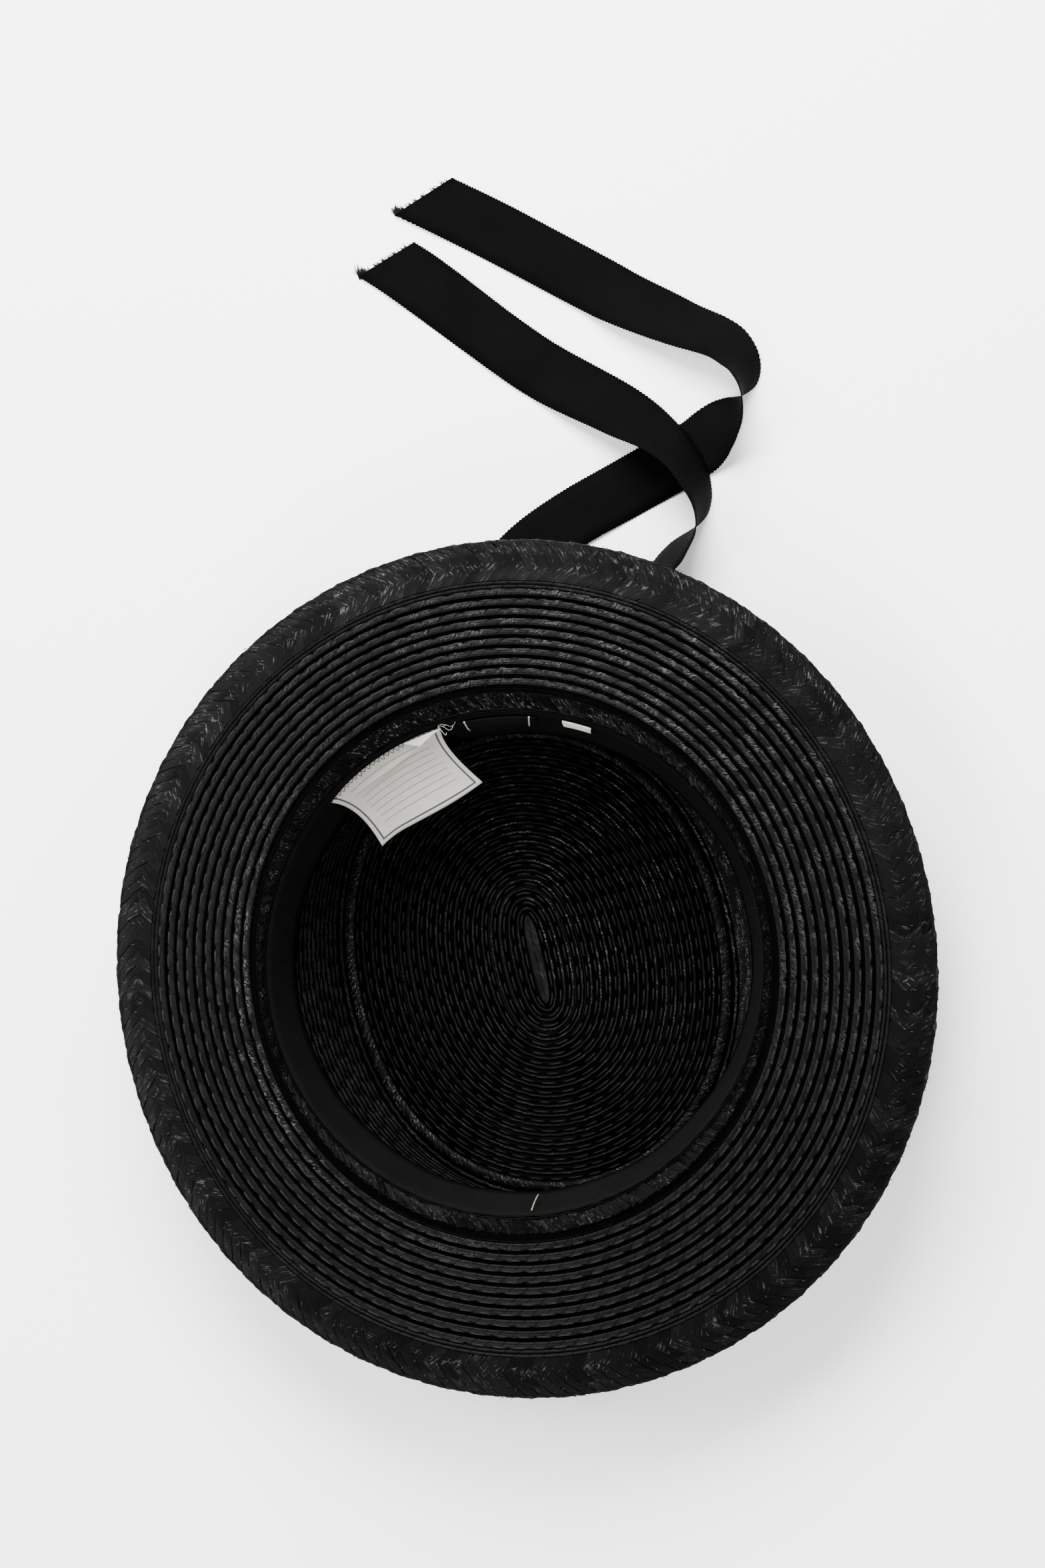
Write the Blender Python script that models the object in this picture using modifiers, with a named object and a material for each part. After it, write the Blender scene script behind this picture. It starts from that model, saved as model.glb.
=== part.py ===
"""Boater hat of sewn straw braid, lying crown down with its two ribbon tails behind it.

Metres, +Z up. The origin is the centre of the tip's outer face, which lies on the surface.
+Y points to the back of the hat, where the ribbon tails are, and +X to the wearer's right.
"""

import math

import bmesh
import bpy
from mathutils import Vector

# General
AROUND = 44
GAP = 0.0003
CLOTH = 0.001
CREASE_ANGLE = 35

# Colours
STRAW_BLACK = (0.022, 0.022, 0.024)
STRAW_ROUGHNESS = 0.35
RIBBON_BLACK = (0.010, 0.010, 0.010)
COTTON_WHITE = (0.78, 0.77, 0.72)
CLOTH_ROUGHNESS = 0.78

# Crown
CROWN_HEIGHT = 0.0700
MOUTH_RADIUS = 0.0920
TIP_HALF_WIDTH = 0.0755
TIP_HALF_LENGTH = 0.0910
TIP_SOFTNESS = 0.8
CROWN_WALL = 0.0020
CROWN_ROWS = 17
CROWN_ROW_STEP = 0.0008
CROWN_ROW_LAP = 0.15
CORNER_ROUND = 0.0018
CORNER_RIB_WIDTH = 0.0044
CORNER_RIB_HEIGHT = 0.0022
INNER_WALL_SHARES = (1.0, 0.66, 0.33, 0.0)

# Plait round the mouth
RIM_BRAID_HALF_WIDTH = 0.0938
RIM_BRAID_HALF_LENGTH = 0.0978
RIM_BRAID_THICKNESS = 0.0016
RIM_BRAID_RISE = 0.0030

# Brim
BRIM_HALF_WIDTH = 0.1525
BRIM_HALF_LENGTH = 0.1581
BRIM_FORWARD = 0.0019
BRIM_TOP_DROP = 0.0010
BRIM_WALL = 0.0020
BRIM_ROWS = 10
BRIM_ROW_STEP = 0.0010
BRIM_ROWS_DROP = 0.0080
EDGE_LINE_COUNT = 2
EDGE_LINE_SHARE = 0.4
EDGE_BRAID_SPREAD = 0.0163
EDGE_BRAID_DROP = 0.0128
EDGE_BRAID_THICKNESS = 0.0024
GROOVE_HALF_WIDTH = 0.0950
GROOVE_HALF_LENGTH = 0.0996
GROOVE_DEPTH = 0.0032
UNDERSIDE_SHARES = (1.0, 0.66, 0.33, 0.04)

# Sweatband
SWEATBAND_DEPTH = 0.0241
SWEATBAND_CLEAR_SIDE = 0.0004
SWEATBAND_CLEAR_END = 0.0071

# Ribbon and its knot
RIBBON_WIDTH = 0.0230
RIBBON_POINTS = 64
LINE_STEPS = 600
HATBAND_TOP_GAP = 0.0012
KNOT_ANGLE = 83
KNOT_WIDTH = 0.0150
KNOT_HEIGHT = 0.0260
KNOT_THICKNESS = 0.0060
KNOT_ROUND = 0.0020
TAIL_REACH = 0.2000
LONG_TAIL_SLANT = 0.0070
SHORT_TAIL_SLANT = 0.0120

# Labels on the sweatband, sewn a share of its width below its upper edge
SEAM_SHARE = 0.09
LABEL_WIDTH = 0.0460
LABEL_LENGTH = 0.0340
LABEL_ANGLE = 110
LABEL_DROOP = 55
LABEL_TURN = -4
LABEL_WAVE = 0.0012
LABEL_CELLS = (12, 6)
NAME_TAG_WIDTH = 0.0290
NAME_TAG_HEIGHT = 0.0090
NAME_TAG_ANGLE = 81
SIZE_TAG_WIDTH = 0.0110
SIZE_TAG_HEIGHT = 0.0070
SIZE_TAG_ANGLE = 62
TAG_THICKNESS = 0.0008
TAG_CELLS = (10, 2)

# Upper side of the turned-down plait, from its inner edge outward, as shares of its spread, of its
# drop and of its thickness above its underside.
EDGE_BRAID_UPPER = (
    # spread, drop, thick
    (0.00, 0.00, 0.45),
    (0.16, 0.09, 1.00),
    (0.46, 0.36, 0.80),
    (0.52, 0.44, 0.55),
    (0.62, 0.52, 0.90),
    (0.90, 0.86, 0.75),
    (1.00, 1.00, 0.30),
)
# Its underside, from the outer edge back to the inner one.
EDGE_BRAID_UNDER = (
    # spread, drop, thick
    (1.00, 1.00, 0.00),
    (0.52, 0.44, 0.00),
    (0.09, 0.00, 0.00),
)

# The rib round the tip's corner, inside: inward and rise, in shares of its width and its height.
CORNER_RIB = (
    # inward, rise
    (0.5, 0.1),
    (0.8, 0.8),
    (1.1, 1.0),
    (1.4, 0.7),
    (1.6, 0.0),
)

# Section of the plait round the mouth: across it from the mouth, and above its underside, as shares.
RIM_BRAID_SECTION = (
    # across, above
    (0.0, 0.2),
    (0.2, 1.0),
    (0.8, 1.0),
    (1.0, 0.5),
    (0.85, 0.0),
    (0.1, 0.0),
)

# Stations along a tail, from its root at the knot to the cut end.
# right and back: centre, in shares of TAIL_REACH from the root. hang and lift: height of the lower
# edge, in shares of the knot's foot and in thicknesses of cloth. turn and tilt: way across, in degrees.
LONG_TAIL = (
    # right, back, hang, lift, turn, tilt
    (0.000, 0.000, 1.00, 0.0, 173, 0),
    (0.000, 0.002, 0.82, 0.0, 173, 0),
    (-0.012, 0.018, 0.48, 0.0, 172, 0),
    (-0.030, 0.065, 0.14, 0.0, 166, 0),
    (-0.028, 0.145, 0.00, 0.0, 155, 0),
    (0.010, 0.205, 0.00, 0.0, 138, 0),
    (0.090, 0.268, 0.00, 0.0, 122, 0),
    (0.192, 0.312, 0.00, 0.0, 112, 0),
    (0.316, 0.347, 0.00, 0.0, 107, 0),
    (0.452, 0.386, 0.00, 0.0, 102, 0),
    (0.500, 0.410, 0.00, 0.0, 96, -14),
    (0.531, 0.422, 0.00, 0.0, 91, -34),
    (0.557, 0.443, 0.00, 0.0, 86, -56),
    (0.570, 0.472, 0.00, 0.0, 58, -62),
    (0.575, 0.507, 0.00, 0.0, 37, -54),
    (0.553, 0.568, 0.00, 0.0, 28, -36),
    (0.478, 0.624, 0.00, 0.0, 42, -31),
    (0.388, 0.695, 0.00, 0.0, 50, -13),
    (0.330, 0.747, 0.00, 0.0, 50, -2),
    (0.167, 0.893, 0.00, 0.0, 48, 0),
    (0.050, 0.991, 0.00, 0.0, 47, 0),
)
SHORT_TAIL = (
    # right, back, hang, lift, turn, tilt
    (0.000, 0.000, 1.02, 0.0, 118, -90),
    (0.045, 0.000, 1.00, 0.0, 118, -90),
    (0.092, 0.016, 0.84, 0.0, 118, -88),
    (0.150, 0.056, 0.44, 0.0, 118, -82),
    (0.220, 0.112, 0.12, 0.0, 120, -72),
    (0.318, 0.190, 0.00, 0.0, 117, -62),
    (0.350, 0.212, 0.00, 0.0, 104, -66),
    (0.378, 0.234, 0.00, 0.0, 84, -70),
    (0.396, 0.260, 0.00, 0.0, 56, -73),
    (0.404, 0.291, 0.00, 0.3, 34, -70),
    (0.401, 0.325, 0.00, 1.4, 24, -62),
    (0.386, 0.375, 0.00, 1.6, 18, -51),
    (0.352, 0.428, 0.00, 1.6, 18, -38),
    (0.286, 0.498, 0.00, 0.4, 28, -18),
    (0.172, 0.599, 0.00, 0.0, 37, 0),
    (0.098, 0.679, 0.00, 0.0, 40, 0),
    (-0.041, 0.845, 0.00, 0.0, 42, 0),
    (-0.104, 0.910, 0.00, 0.0, 43, 0),
)


def clear_scene():
    for obj in list(bpy.data.objects):
        bpy.data.objects.remove(obj, do_unlink=True)


def make_collection(name):
    collection = bpy.data.collections.new(name)
    bpy.context.scene.collection.children.link(collection)
    return collection


def make_material(name, colour, roughness):
    material = bpy.data.materials.new(name)
    material.use_nodes = True
    shader = material.node_tree.nodes["Principled BSDF"]
    shader.inputs["Base Color"].default_value = (*colour, 1.0)
    shader.inputs["Roughness"].default_value = roughness
    return material


def add_object(name, mesh_maker, collection, material):
    """A new object whose mesh is filled by mesh_maker, with outward faces and smooth shading."""
    bm = bmesh.new()
    mesh_maker(bm)
    bmesh.ops.recalc_face_normals(bm, faces=bm.faces)
    if bm.calc_volume(signed=True) < 0:
        bmesh.ops.reverse_faces(bm, faces=bm.faces)
    mesh = bpy.data.meshes.new(name)
    bm.to_mesh(mesh)
    bm.free()
    mesh.shade_smooth()
    mesh.set_sharp_from_angle(angle=math.radians(CREASE_ANGLE))
    mesh.materials.append(material)
    obj = bpy.data.objects.new(name, mesh)
    collection.objects.link(obj)
    return obj


def mix(low, high, share):
    return low + (high - low) * share


# Ovals and rings


def oval_point(angle, half_width, half_length, z, forward=0.0):
    """A point of an oval: a circle of the half width, stretched along Y by a soft step."""
    side = math.sin(angle)
    soft = side / math.hypot(side, TIP_SOFTNESS) * math.hypot(1.0, TIP_SOFTNESS)
    y = half_width * side + (half_length - half_width) * soft
    return Vector((half_width * math.cos(angle), y - forward, z))


def add_ring(bm, section):
    step = 2 * math.pi / AROUND
    return [bm.verts.new(oval_point(step * turn, *section)) for turn in range(AROUND)]


def join_rings(bm, one, other):
    for here in range(AROUND):
        after = (here + 1) % AROUND
        bm.faces.new((one[here], one[after], other[after], other[here]))


def ring_body(sections, closed):
    """A mesh maker for a body turned through its sections: a closed loop, or capped at both ends."""

    def maker(bm):
        rings = [add_ring(bm, section) for section in sections]
        for one, other in zip(rings, rings[1:]):
            join_rings(bm, one, other)
        if closed:
            join_rings(bm, rings[-1], rings[0])
        else:
            bm.faces.new(rings[0])
            bm.faces.new(rings[-1])

    return maker


# Crown


def wall_top():
    """Height of the crown wall's upper edge, just under the plait round the mouth."""
    return CROWN_HEIGHT - RIM_BRAID_RISE - RIM_BRAID_THICKNESS


def wall_point(share, outward):
    """Section of the crown wall: share 0 at the tip and 1 at the mouth, moved outward from the inside."""
    half_width = mix(TIP_HALF_WIDTH, MOUTH_RADIUS, share)
    half_length = mix(TIP_HALF_LENGTH, MOUTH_RADIUS, share)
    z = mix(CROWN_WALL, wall_top(), share)
    return (half_width + outward, half_length + outward, z)


def crown_outside():
    """The flat tip, its round corner and the overlapping rows up to the mouth."""
    foot_width = TIP_HALF_WIDTH + CROWN_WALL
    foot_length = TIP_HALF_LENGTH + CROWN_WALL
    sections = [
        (foot_width - CORNER_ROUND, foot_length - CORNER_ROUND, 0.0),
        (foot_width, foot_length, CORNER_ROUND),
    ]
    for row in range(CROWN_ROWS):
        low = wall_point((row + CROWN_ROW_LAP) / CROWN_ROWS, CROWN_WALL)
        high = wall_point((row + 1.0) / CROWN_ROWS, CROWN_WALL + CROWN_ROW_STEP)
        sections += [low, high]
    return sections


def crown_inside():
    """The wall down to the tip, the rib round the corner and the tip's flat floor."""
    sections = [wall_point(share, 0.0) for share in INNER_WALL_SHARES]
    for inward, rise in CORNER_RIB:
        half_width = TIP_HALF_WIDTH - CORNER_RIB_WIDTH * inward
        half_length = TIP_HALF_LENGTH - CORNER_RIB_WIDTH * inward
        sections.append((half_width, half_length, CROWN_WALL + CORNER_RIB_HEIGHT * rise))
    return sections


def make_crown(collection):
    straw = make_material("crown straw", STRAW_BLACK, STRAW_ROUGHNESS)
    sections = crown_outside() + crown_inside()
    return add_object("crown", ring_body(sections, closed=False), collection, straw)


# Brim


def groove_floor():
    return CROWN_HEIGHT - BRIM_TOP_DROP - GROOVE_DEPTH


def brim_point(share):
    """Mean line of the rows: share 0 at the groove and 1 where the turned-down plait starts."""
    end_width = BRIM_HALF_WIDTH - EDGE_BRAID_SPREAD - GAP
    end_length = BRIM_HALF_LENGTH - EDGE_BRAID_SPREAD - GAP
    half_width = mix(GROOVE_HALF_WIDTH, end_width, share)
    half_length = mix(GROOVE_HALF_LENGTH, end_length, share)
    z = groove_floor() + GROOVE_DEPTH - BRIM_ROWS_DROP * share
    return half_width, half_length, z, BRIM_FORWARD * share


def brim_row_edges():
    """Shares at which the rows end: equal rows, then the narrow lines beside the plait."""
    widths = [1.0] * BRIM_ROWS + [EDGE_LINE_SHARE] * EDGE_LINE_COUNT
    ends = []
    reached = 0.0
    for width in widths:
        reached += width
        ends.append(reached / sum(widths))
    return ends


def brim_rows():
    """Upper side: each row ends above the start of the next, like shingles."""
    sections = []
    start = 0.0
    for end in brim_row_edges():
        half_width, half_length, z, forward = brim_point(start)
        sections.append((half_width, half_length, z - BRIM_ROW_STEP / 2, forward))
        half_width, half_length, z, forward = brim_point(end)
        sections.append((half_width - GAP, half_length - GAP, z + BRIM_ROW_STEP / 2, forward))
        start = end
    return sections


def brim_inner_radius():
    return MOUTH_RADIUS + CROWN_WALL + CROWN_ROW_STEP + GAP


def brim_sections():
    """Section of the brim: the lip in the groove, the rows, and the plain underside back to the lip."""
    lip = brim_inner_radius()
    floor = groove_floor()
    sections = [(lip, lip, floor - BRIM_WALL), (lip, lip, floor)]
    sections.append((GROOVE_HALF_WIDTH + GAP, GROOVE_HALF_LENGTH, floor))
    sections += brim_rows()
    for share in UNDERSIDE_SHARES:
        half_width, half_length, z, forward = brim_point(share)
        sections.append((half_width, half_length, z - BRIM_WALL - BRIM_ROW_STEP / 2, forward))
    return sections


def make_brim(collection):
    straw = make_material("brim straw", STRAW_BLACK, STRAW_ROUGHNESS)
    return add_object("brim", ring_body(brim_sections(), closed=True), collection, straw)


def edge_braid_point(spread, drop, above):
    """A point of the turned-down plait: shares of its spread and drop, raised square to its slope."""
    slope = math.atan2(EDGE_BRAID_DROP, EDGE_BRAID_SPREAD)
    _, _, start_z, _ = brim_point(1.0)
    z = start_z - EDGE_BRAID_DROP * drop + above * math.cos(slope)
    inward = EDGE_BRAID_SPREAD * (1.0 - spread) - above * math.sin(slope)
    return (BRIM_HALF_WIDTH - inward, BRIM_HALF_LENGTH - inward, z, BRIM_FORWARD)


def edge_braid_sections():
    """Both tables' sections, as a thickness half above and half under the plait's mean slope."""
    return [
        edge_braid_point(spread, drop, EDGE_BRAID_THICKNESS * (thick - 0.5))
        for spread, drop, thick in EDGE_BRAID_UPPER + EDGE_BRAID_UNDER
    ]


def make_edge_braid(collection):
    straw = make_material("edge braid straw", STRAW_BLACK, STRAW_ROUGHNESS)
    body = ring_body(edge_braid_sections(), closed=True)
    return add_object("brim_edge_braid", body, collection, straw)


def rim_braid_sections():
    """A flat plait round the mouth, low at its inner edge and high at its outer one."""
    inner = (MOUTH_RADIUS - GAP, MOUTH_RADIUS - GAP)
    outer = (RIM_BRAID_HALF_WIDTH, RIM_BRAID_HALF_LENGTH)
    low = wall_top() + GAP
    sections = []
    for across, above in RIM_BRAID_SECTION:
        half_width = mix(inner[0], outer[0], across)
        half_length = mix(inner[1], outer[1], across)
        z = low + RIM_BRAID_RISE * across + (RIM_BRAID_THICKNESS - GAP) * above
        sections.append((half_width, half_length, z))
    return sections


def make_rim_braid(collection):
    straw = make_material("rim braid straw", STRAW_BLACK, STRAW_ROUGHNESS)
    return add_object("rim_braid", ring_body(rim_braid_sections(), closed=True), collection, straw)


# Sweatband and labels


def wall_share(z):
    """Share of the way up the crown wall, 0 at the tip and 1 at the mouth, of a height."""
    return (z - CROWN_WALL) / (wall_top() - CROWN_WALL)


def sweatband_section(depth, inward):
    """Section of the band: depth 0 at the mouth, and 1 at its free edge, which stands off the wall."""
    top = MOUTH_RADIUS - GAP
    free_z = wall_top() - SWEATBAND_DEPTH
    wall_width, wall_length, _ = wall_point(wall_share(free_z), 0.0)
    half_width = mix(top, wall_width - SWEATBAND_CLEAR_SIDE, depth) - inward
    half_length = mix(top, wall_length - SWEATBAND_CLEAR_END, depth) - inward
    return (half_width, half_length, mix(wall_top(), free_z, depth))


def sweatband_sections():
    outside = [sweatband_section(depth, 0.0) for depth in (0.0, 0.5, 1.0)]
    inside = [sweatband_section(depth, CLOTH) for depth in (1.0, 0.5, 0.0)]
    return outside + inside


def make_sweatband(collection):
    cloth = make_material("sweatband grosgrain", RIBBON_BLACK, CLOTH_ROUGHNESS)
    return add_object("sweatband", ring_body(sweatband_sections(), closed=True), collection, cloth)


def sheet_body(point, cells, thickness):
    """A mesh maker for a thin sheet: point(u, v) on its lower face, u and v from 0 to 1."""
    across, along = cells

    def maker(bm):
        rows = []
        for row in range(along + 1):
            for column in range(across + 1):
                rows.append(bm.verts.new(point(column / across, row / along)))
        for row in range(along):
            for column in range(across):
                first = row * (across + 1) + column
                above = first + across + 1
                bm.faces.new((rows[first], rows[first + 1], rows[above + 1], rows[above]))
        bmesh.ops.recalc_face_normals(bm, faces=bm.faces)
        bmesh.ops.solidify(bm, geom=bm.faces[:], thickness=thickness)

    return maker


def tag_point(angle, width, top, height):
    """Places a tag flat on the inside of the sweatband, its top and height given down the band."""
    centre = math.radians(angle)
    half_turn = width / MOUTH_RADIUS / 2

    def point(u, v):
        depth = (top + height * v) / SWEATBAND_DEPTH
        section = sweatband_section(depth, CLOTH + GAP + TAG_THICKNESS / 2)
        return oval_point(centre - half_turn + 2 * half_turn * u, *section)

    return point


def make_tag(name, angle, width, height, colour, collection):
    """A cloth tag a little below the band's upper edge."""
    cloth = make_material(name.replace("_", " ") + " cloth", colour, CLOTH_ROUGHNESS)
    top = SWEATBAND_DEPTH * SEAM_SHARE
    body = sheet_body(tag_point(angle, width, top, height), TAG_CELLS, TAG_THICKNESS)
    return add_object(name, body, collection, cloth)


def label_point(u, v):
    """The care label: sewn at its upper edge, drooping inward, with a slight wave along its free edge."""
    turn = math.radians(LABEL_ANGLE) + LABEL_WIDTH / MOUTH_RADIUS * (0.5 - u)
    section = sweatband_section(SEAM_SHARE, CLOTH + GAP + CLOTH)
    seam = oval_point(turn, *section)
    middle = math.radians(LABEL_ANGLE + LABEL_TURN)
    inward = Vector((-math.cos(middle), -math.sin(middle), 0.0))
    droop = math.radians(LABEL_DROOP)
    wave = LABEL_WAVE * math.sin(2 * math.pi * u) * v
    fall = Vector((0.0, 0.0, -math.sin(droop)))
    return seam + (inward * math.cos(droop) + fall) * LABEL_LENGTH * v + Vector((0.0, 0.0, wave))


def make_care_label(collection):
    cloth = make_material("label cotton", COTTON_WHITE, CLOTH_ROUGHNESS)
    body = sheet_body(label_point, LABEL_CELLS, -CLOTH)
    return add_object("care_label", body, collection, cloth)


# Hatband, knot and tails


def hatband_top():
    return groove_floor() - BRIM_WALL - HATBAND_TOP_GAP


def hatband_section(depth, outward):
    """Section of the band round the crown: depth 0 under the brim and 1 at its other edge."""
    z = hatband_top() - RIBBON_WIDTH * depth
    clear = CROWN_WALL + CROWN_ROW_STEP + GAP
    half_width, half_length, _ = wall_point(wall_share(z), clear + outward)
    return (half_width, half_length, z)


def make_hatband(collection):
    cloth = make_material("hatband grosgrain", RIBBON_BLACK, CLOTH_ROUGHNESS)
    inside = [hatband_section(depth, 0.0) for depth in (0.0, 1.0)]
    outside = [hatband_section(depth, CLOTH) for depth in (1.0, 0.0)]
    return add_object("hatband", ring_body(inside + outside, closed=True), collection, cloth)


def knot_frame():
    """The knot's centre, and the directions out of the crown and along the hatband."""
    angle = math.radians(KNOT_ANGLE)
    outward = Vector((math.cos(angle), math.sin(angle), 0.0))
    edges = [oval_point(angle, *hatband_section(depth, CLOTH)) for depth in (0.0, 1.0)]
    seat = max(edges, key=outward.dot)
    seat.z = hatband_top() - KNOT_HEIGHT / 2 + HATBAND_TOP_GAP / 2
    sideways = Vector((outward.y, -outward.x, 0.0))
    return seat + outward * (GAP + KNOT_THICKNESS / 2), outward, sideways


def make_knot(collection):
    cloth = make_material("knot grosgrain", RIBBON_BLACK, CLOTH_ROUGHNESS)
    centre, outward, _ = knot_frame()

    def maker(bm):
        bmesh.ops.create_cube(bm, size=1.0)
        bmesh.ops.scale(bm, vec=(KNOT_WIDTH, KNOT_THICKNESS, KNOT_HEIGHT), verts=bm.verts)

    knot = add_object("ribbon_knot", maker, collection, cloth)
    knot.location = centre
    knot.rotation_euler = (0.0, 0.0, math.atan2(outward.y, outward.x) - math.pi / 2)
    bevel = knot.modifiers.new("soft edges", "BEVEL")
    bevel.width = KNOT_ROUND
    bevel.segments = 2
    return knot


def tail_stations(table, beside_knot):
    """Centre and unit way across the ribbon at each row of a tail's table.

    The root is under the knot's foot, or against its side where beside_knot is 1.
    """
    centre, _, sideways = knot_frame()
    root = centre + sideways * (KNOT_WIDTH / 2 + 2 * GAP) * beside_knot
    foot = centre.z - KNOT_HEIGHT / 2 - CLOTH - 2 * GAP
    stations = []
    for right, back, hang, lift, turn, tilt in table:
        way = Vector((math.cos(math.radians(turn)), math.sin(math.radians(turn)), 0.0))
        way *= math.cos(math.radians(tilt))
        way.z = math.sin(math.radians(tilt))
        low = foot * hang + CLOTH * lift
        z = low + abs(way.z) * RIBBON_WIDTH / 2 + CLOTH / 2 + GAP
        place = Vector((root.x + TAIL_REACH * right, root.y + TAIL_REACH * back, z))
        stations.append((place, way))
    return stations


def spline_value(values, position):
    """A smooth curve through the values, at a position counted in steps between them."""
    last = len(values) - 1
    step = min(int(position), last - 1)
    t = position - step
    before = values[max(step - 1, 0)]
    one = values[step]
    two = values[step + 1]
    after = values[min(step + 2, last)]
    return 0.5 * (
        2 * one
        + (two - before) * t
        + (2 * before - 5 * one + 4 * two - after) * t * t
        + (3 * one - before - 3 * two + after) * t * t * t
    )


def tail_line(table, beside_knot):
    """Evenly spaced centres and ways across along a tail."""
    stations = tail_stations(table, beside_knot)
    places = [place for place, _ in stations]
    ways = [way for _, way in stations]
    fine = [index * (len(table) - 1) / LINE_STEPS for index in range(LINE_STEPS + 1)]
    dense = [spline_value(places, position) for position in fine]
    run = [0.0]
    for one, two in zip(dense, dense[1:]):
        run.append(run[-1] + (two - one).length)
    line = []
    at = 0
    for index in range(RIBBON_POINTS):
        want = run[-1] * index / (RIBBON_POINTS - 1)
        while at < len(run) - 2 and run[at + 1] < want:
            at += 1
        share = (want - run[at]) / (run[at + 1] - run[at])
        position = mix(fine[at], fine[at + 1], share)
        line.append((spline_value(places, position), spline_value(ways, position).normalized()))
    return line


def tail_body(table, beside_knot, end_slant):
    """A mesh maker for a flat ribbon along the tail's line, with its end cut on the slant."""
    line = tail_line(table, beside_knot)

    def maker(bm):
        rings = []
        for index, (place, way) in enumerate(line):
            before = line[max(index - 1, 0)][0]
            after = line[min(index + 1, len(line) - 1)][0]
            ahead = (after - before).normalized()
            way = (way - ahead * way.dot(ahead)).normalized()
            normal = ahead.cross(way).normalized() * CLOTH / 2
            half = way * RIBBON_WIDTH / 2
            lowest = abs(half.z) + abs(normal.z) + GAP
            place = Vector((place.x, place.y, max(place.z, lowest)))
            slant = ahead * end_slant / 2 if index == len(line) - 1 else Vector()
            one = place + half - slant
            other = place - half + slant
            corners = (one + normal, other + normal, other - normal, one - normal)
            rings.append([bm.verts.new(corner) for corner in corners])
        for near, far in zip(rings, rings[1:]):
            for side in range(4):
                after = (side + 1) % 4
                bm.faces.new((near[side], near[after], far[after], far[side]))
        bm.faces.new(rings[0])
        bm.faces.new(rings[-1])

    return maker


def make_tail(name, table, beside_knot, end_slant, collection):
    cloth = make_material(name.replace("_", " ") + " grosgrain", RIBBON_BLACK, CLOTH_ROUGHNESS)
    return add_object(name, tail_body(table, beside_knot, end_slant), collection, cloth)


def main():
    clear_scene()
    hat = make_collection("boater hat")
    make_crown(hat)
    make_brim(hat)
    make_edge_braid(hat)
    make_rim_braid(hat)
    make_sweatband(hat)
    make_hatband(hat)
    make_knot(hat)
    make_tail("ribbon_tail_long", LONG_TAIL, 0, LONG_TAIL_SLANT, hat)
    make_tail("ribbon_tail_short", SHORT_TAIL, 1, SHORT_TAIL_SLANT, hat)
    make_care_label(hat)
    make_tag("name_tag", NAME_TAG_ANGLE, NAME_TAG_WIDTH, NAME_TAG_HEIGHT, RIBBON_BLACK, hat)
    make_tag("size_tag", SIZE_TAG_ANGLE, SIZE_TAG_WIDTH, SIZE_TAG_HEIGHT, COTTON_WHITE, hat)


main()
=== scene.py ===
"""Looks of a black straw boater that lies crown down with two ribbon tails behind it.

Metres, +Z up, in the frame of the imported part: the origin is the centre of the crown's tip,
+Y points to the back of the hat, where the tails are, and +X to the wearer's right.
"""

import itertools
import math

import bpy
import numpy as np
from mathutils import Matrix, Vector


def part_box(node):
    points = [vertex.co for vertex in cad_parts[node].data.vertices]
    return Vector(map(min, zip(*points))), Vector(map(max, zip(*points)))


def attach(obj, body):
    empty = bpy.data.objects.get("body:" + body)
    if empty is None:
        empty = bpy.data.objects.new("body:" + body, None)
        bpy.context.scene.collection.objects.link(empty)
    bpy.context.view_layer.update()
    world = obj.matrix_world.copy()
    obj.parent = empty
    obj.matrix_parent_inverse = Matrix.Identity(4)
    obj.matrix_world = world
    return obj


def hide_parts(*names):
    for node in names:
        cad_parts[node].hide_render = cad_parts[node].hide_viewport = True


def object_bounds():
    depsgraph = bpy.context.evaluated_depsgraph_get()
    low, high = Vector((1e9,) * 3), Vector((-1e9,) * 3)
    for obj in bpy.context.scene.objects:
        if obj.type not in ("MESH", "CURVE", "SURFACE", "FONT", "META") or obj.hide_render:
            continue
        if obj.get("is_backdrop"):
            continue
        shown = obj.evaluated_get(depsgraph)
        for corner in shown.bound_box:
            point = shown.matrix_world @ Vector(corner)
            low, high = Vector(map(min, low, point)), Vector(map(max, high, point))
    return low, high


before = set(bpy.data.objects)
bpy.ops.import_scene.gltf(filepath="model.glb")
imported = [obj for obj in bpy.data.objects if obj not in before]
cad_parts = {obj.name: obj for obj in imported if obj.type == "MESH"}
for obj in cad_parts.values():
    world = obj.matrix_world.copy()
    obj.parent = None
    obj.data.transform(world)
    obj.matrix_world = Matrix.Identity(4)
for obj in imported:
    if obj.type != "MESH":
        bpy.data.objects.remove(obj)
CAD_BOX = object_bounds()

MM = 0.001
FULL_TURN = 2 * math.pi

# Camera, with its turns in degrees
CAMERA_TARGET = Vector((0.0187, 0.0621, 0.0700))
CAMERA_ASIDE = 8.3
CAMERA_BELOW = 1.8
CAMERA_ROLL = 13.1
CAMERA_DISTANCE = 1.200
CAMERA_LENS = 76.22
CAMERA_SENSOR = 36.0

# Light and floor
LIGHT_AIM = Vector((0.02, 0.06, 0.03))
LAMP_RISE = 47.0
LAMPS = (
    # name, turn from the picture's right, distance, size, power
    ("lamp_behind", 96.0, 1.3, 0.9, 86.0),
    ("lamp_left", 165.0, 1.6, 0.8, 34.0),
    ("lamp_right", 15.0, 1.7, 0.7, 16.0),
    ("lamp_front", 255.0, 1.7, 0.7, 34.0),
)
WORLD_STRENGTH = 0.80
FLOOR_HALF = 4.0
FLOOR_TONES = ((0.855, 0.853, 0.857, 1.0), (0.872, 0.870, 0.875, 1.0))

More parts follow.
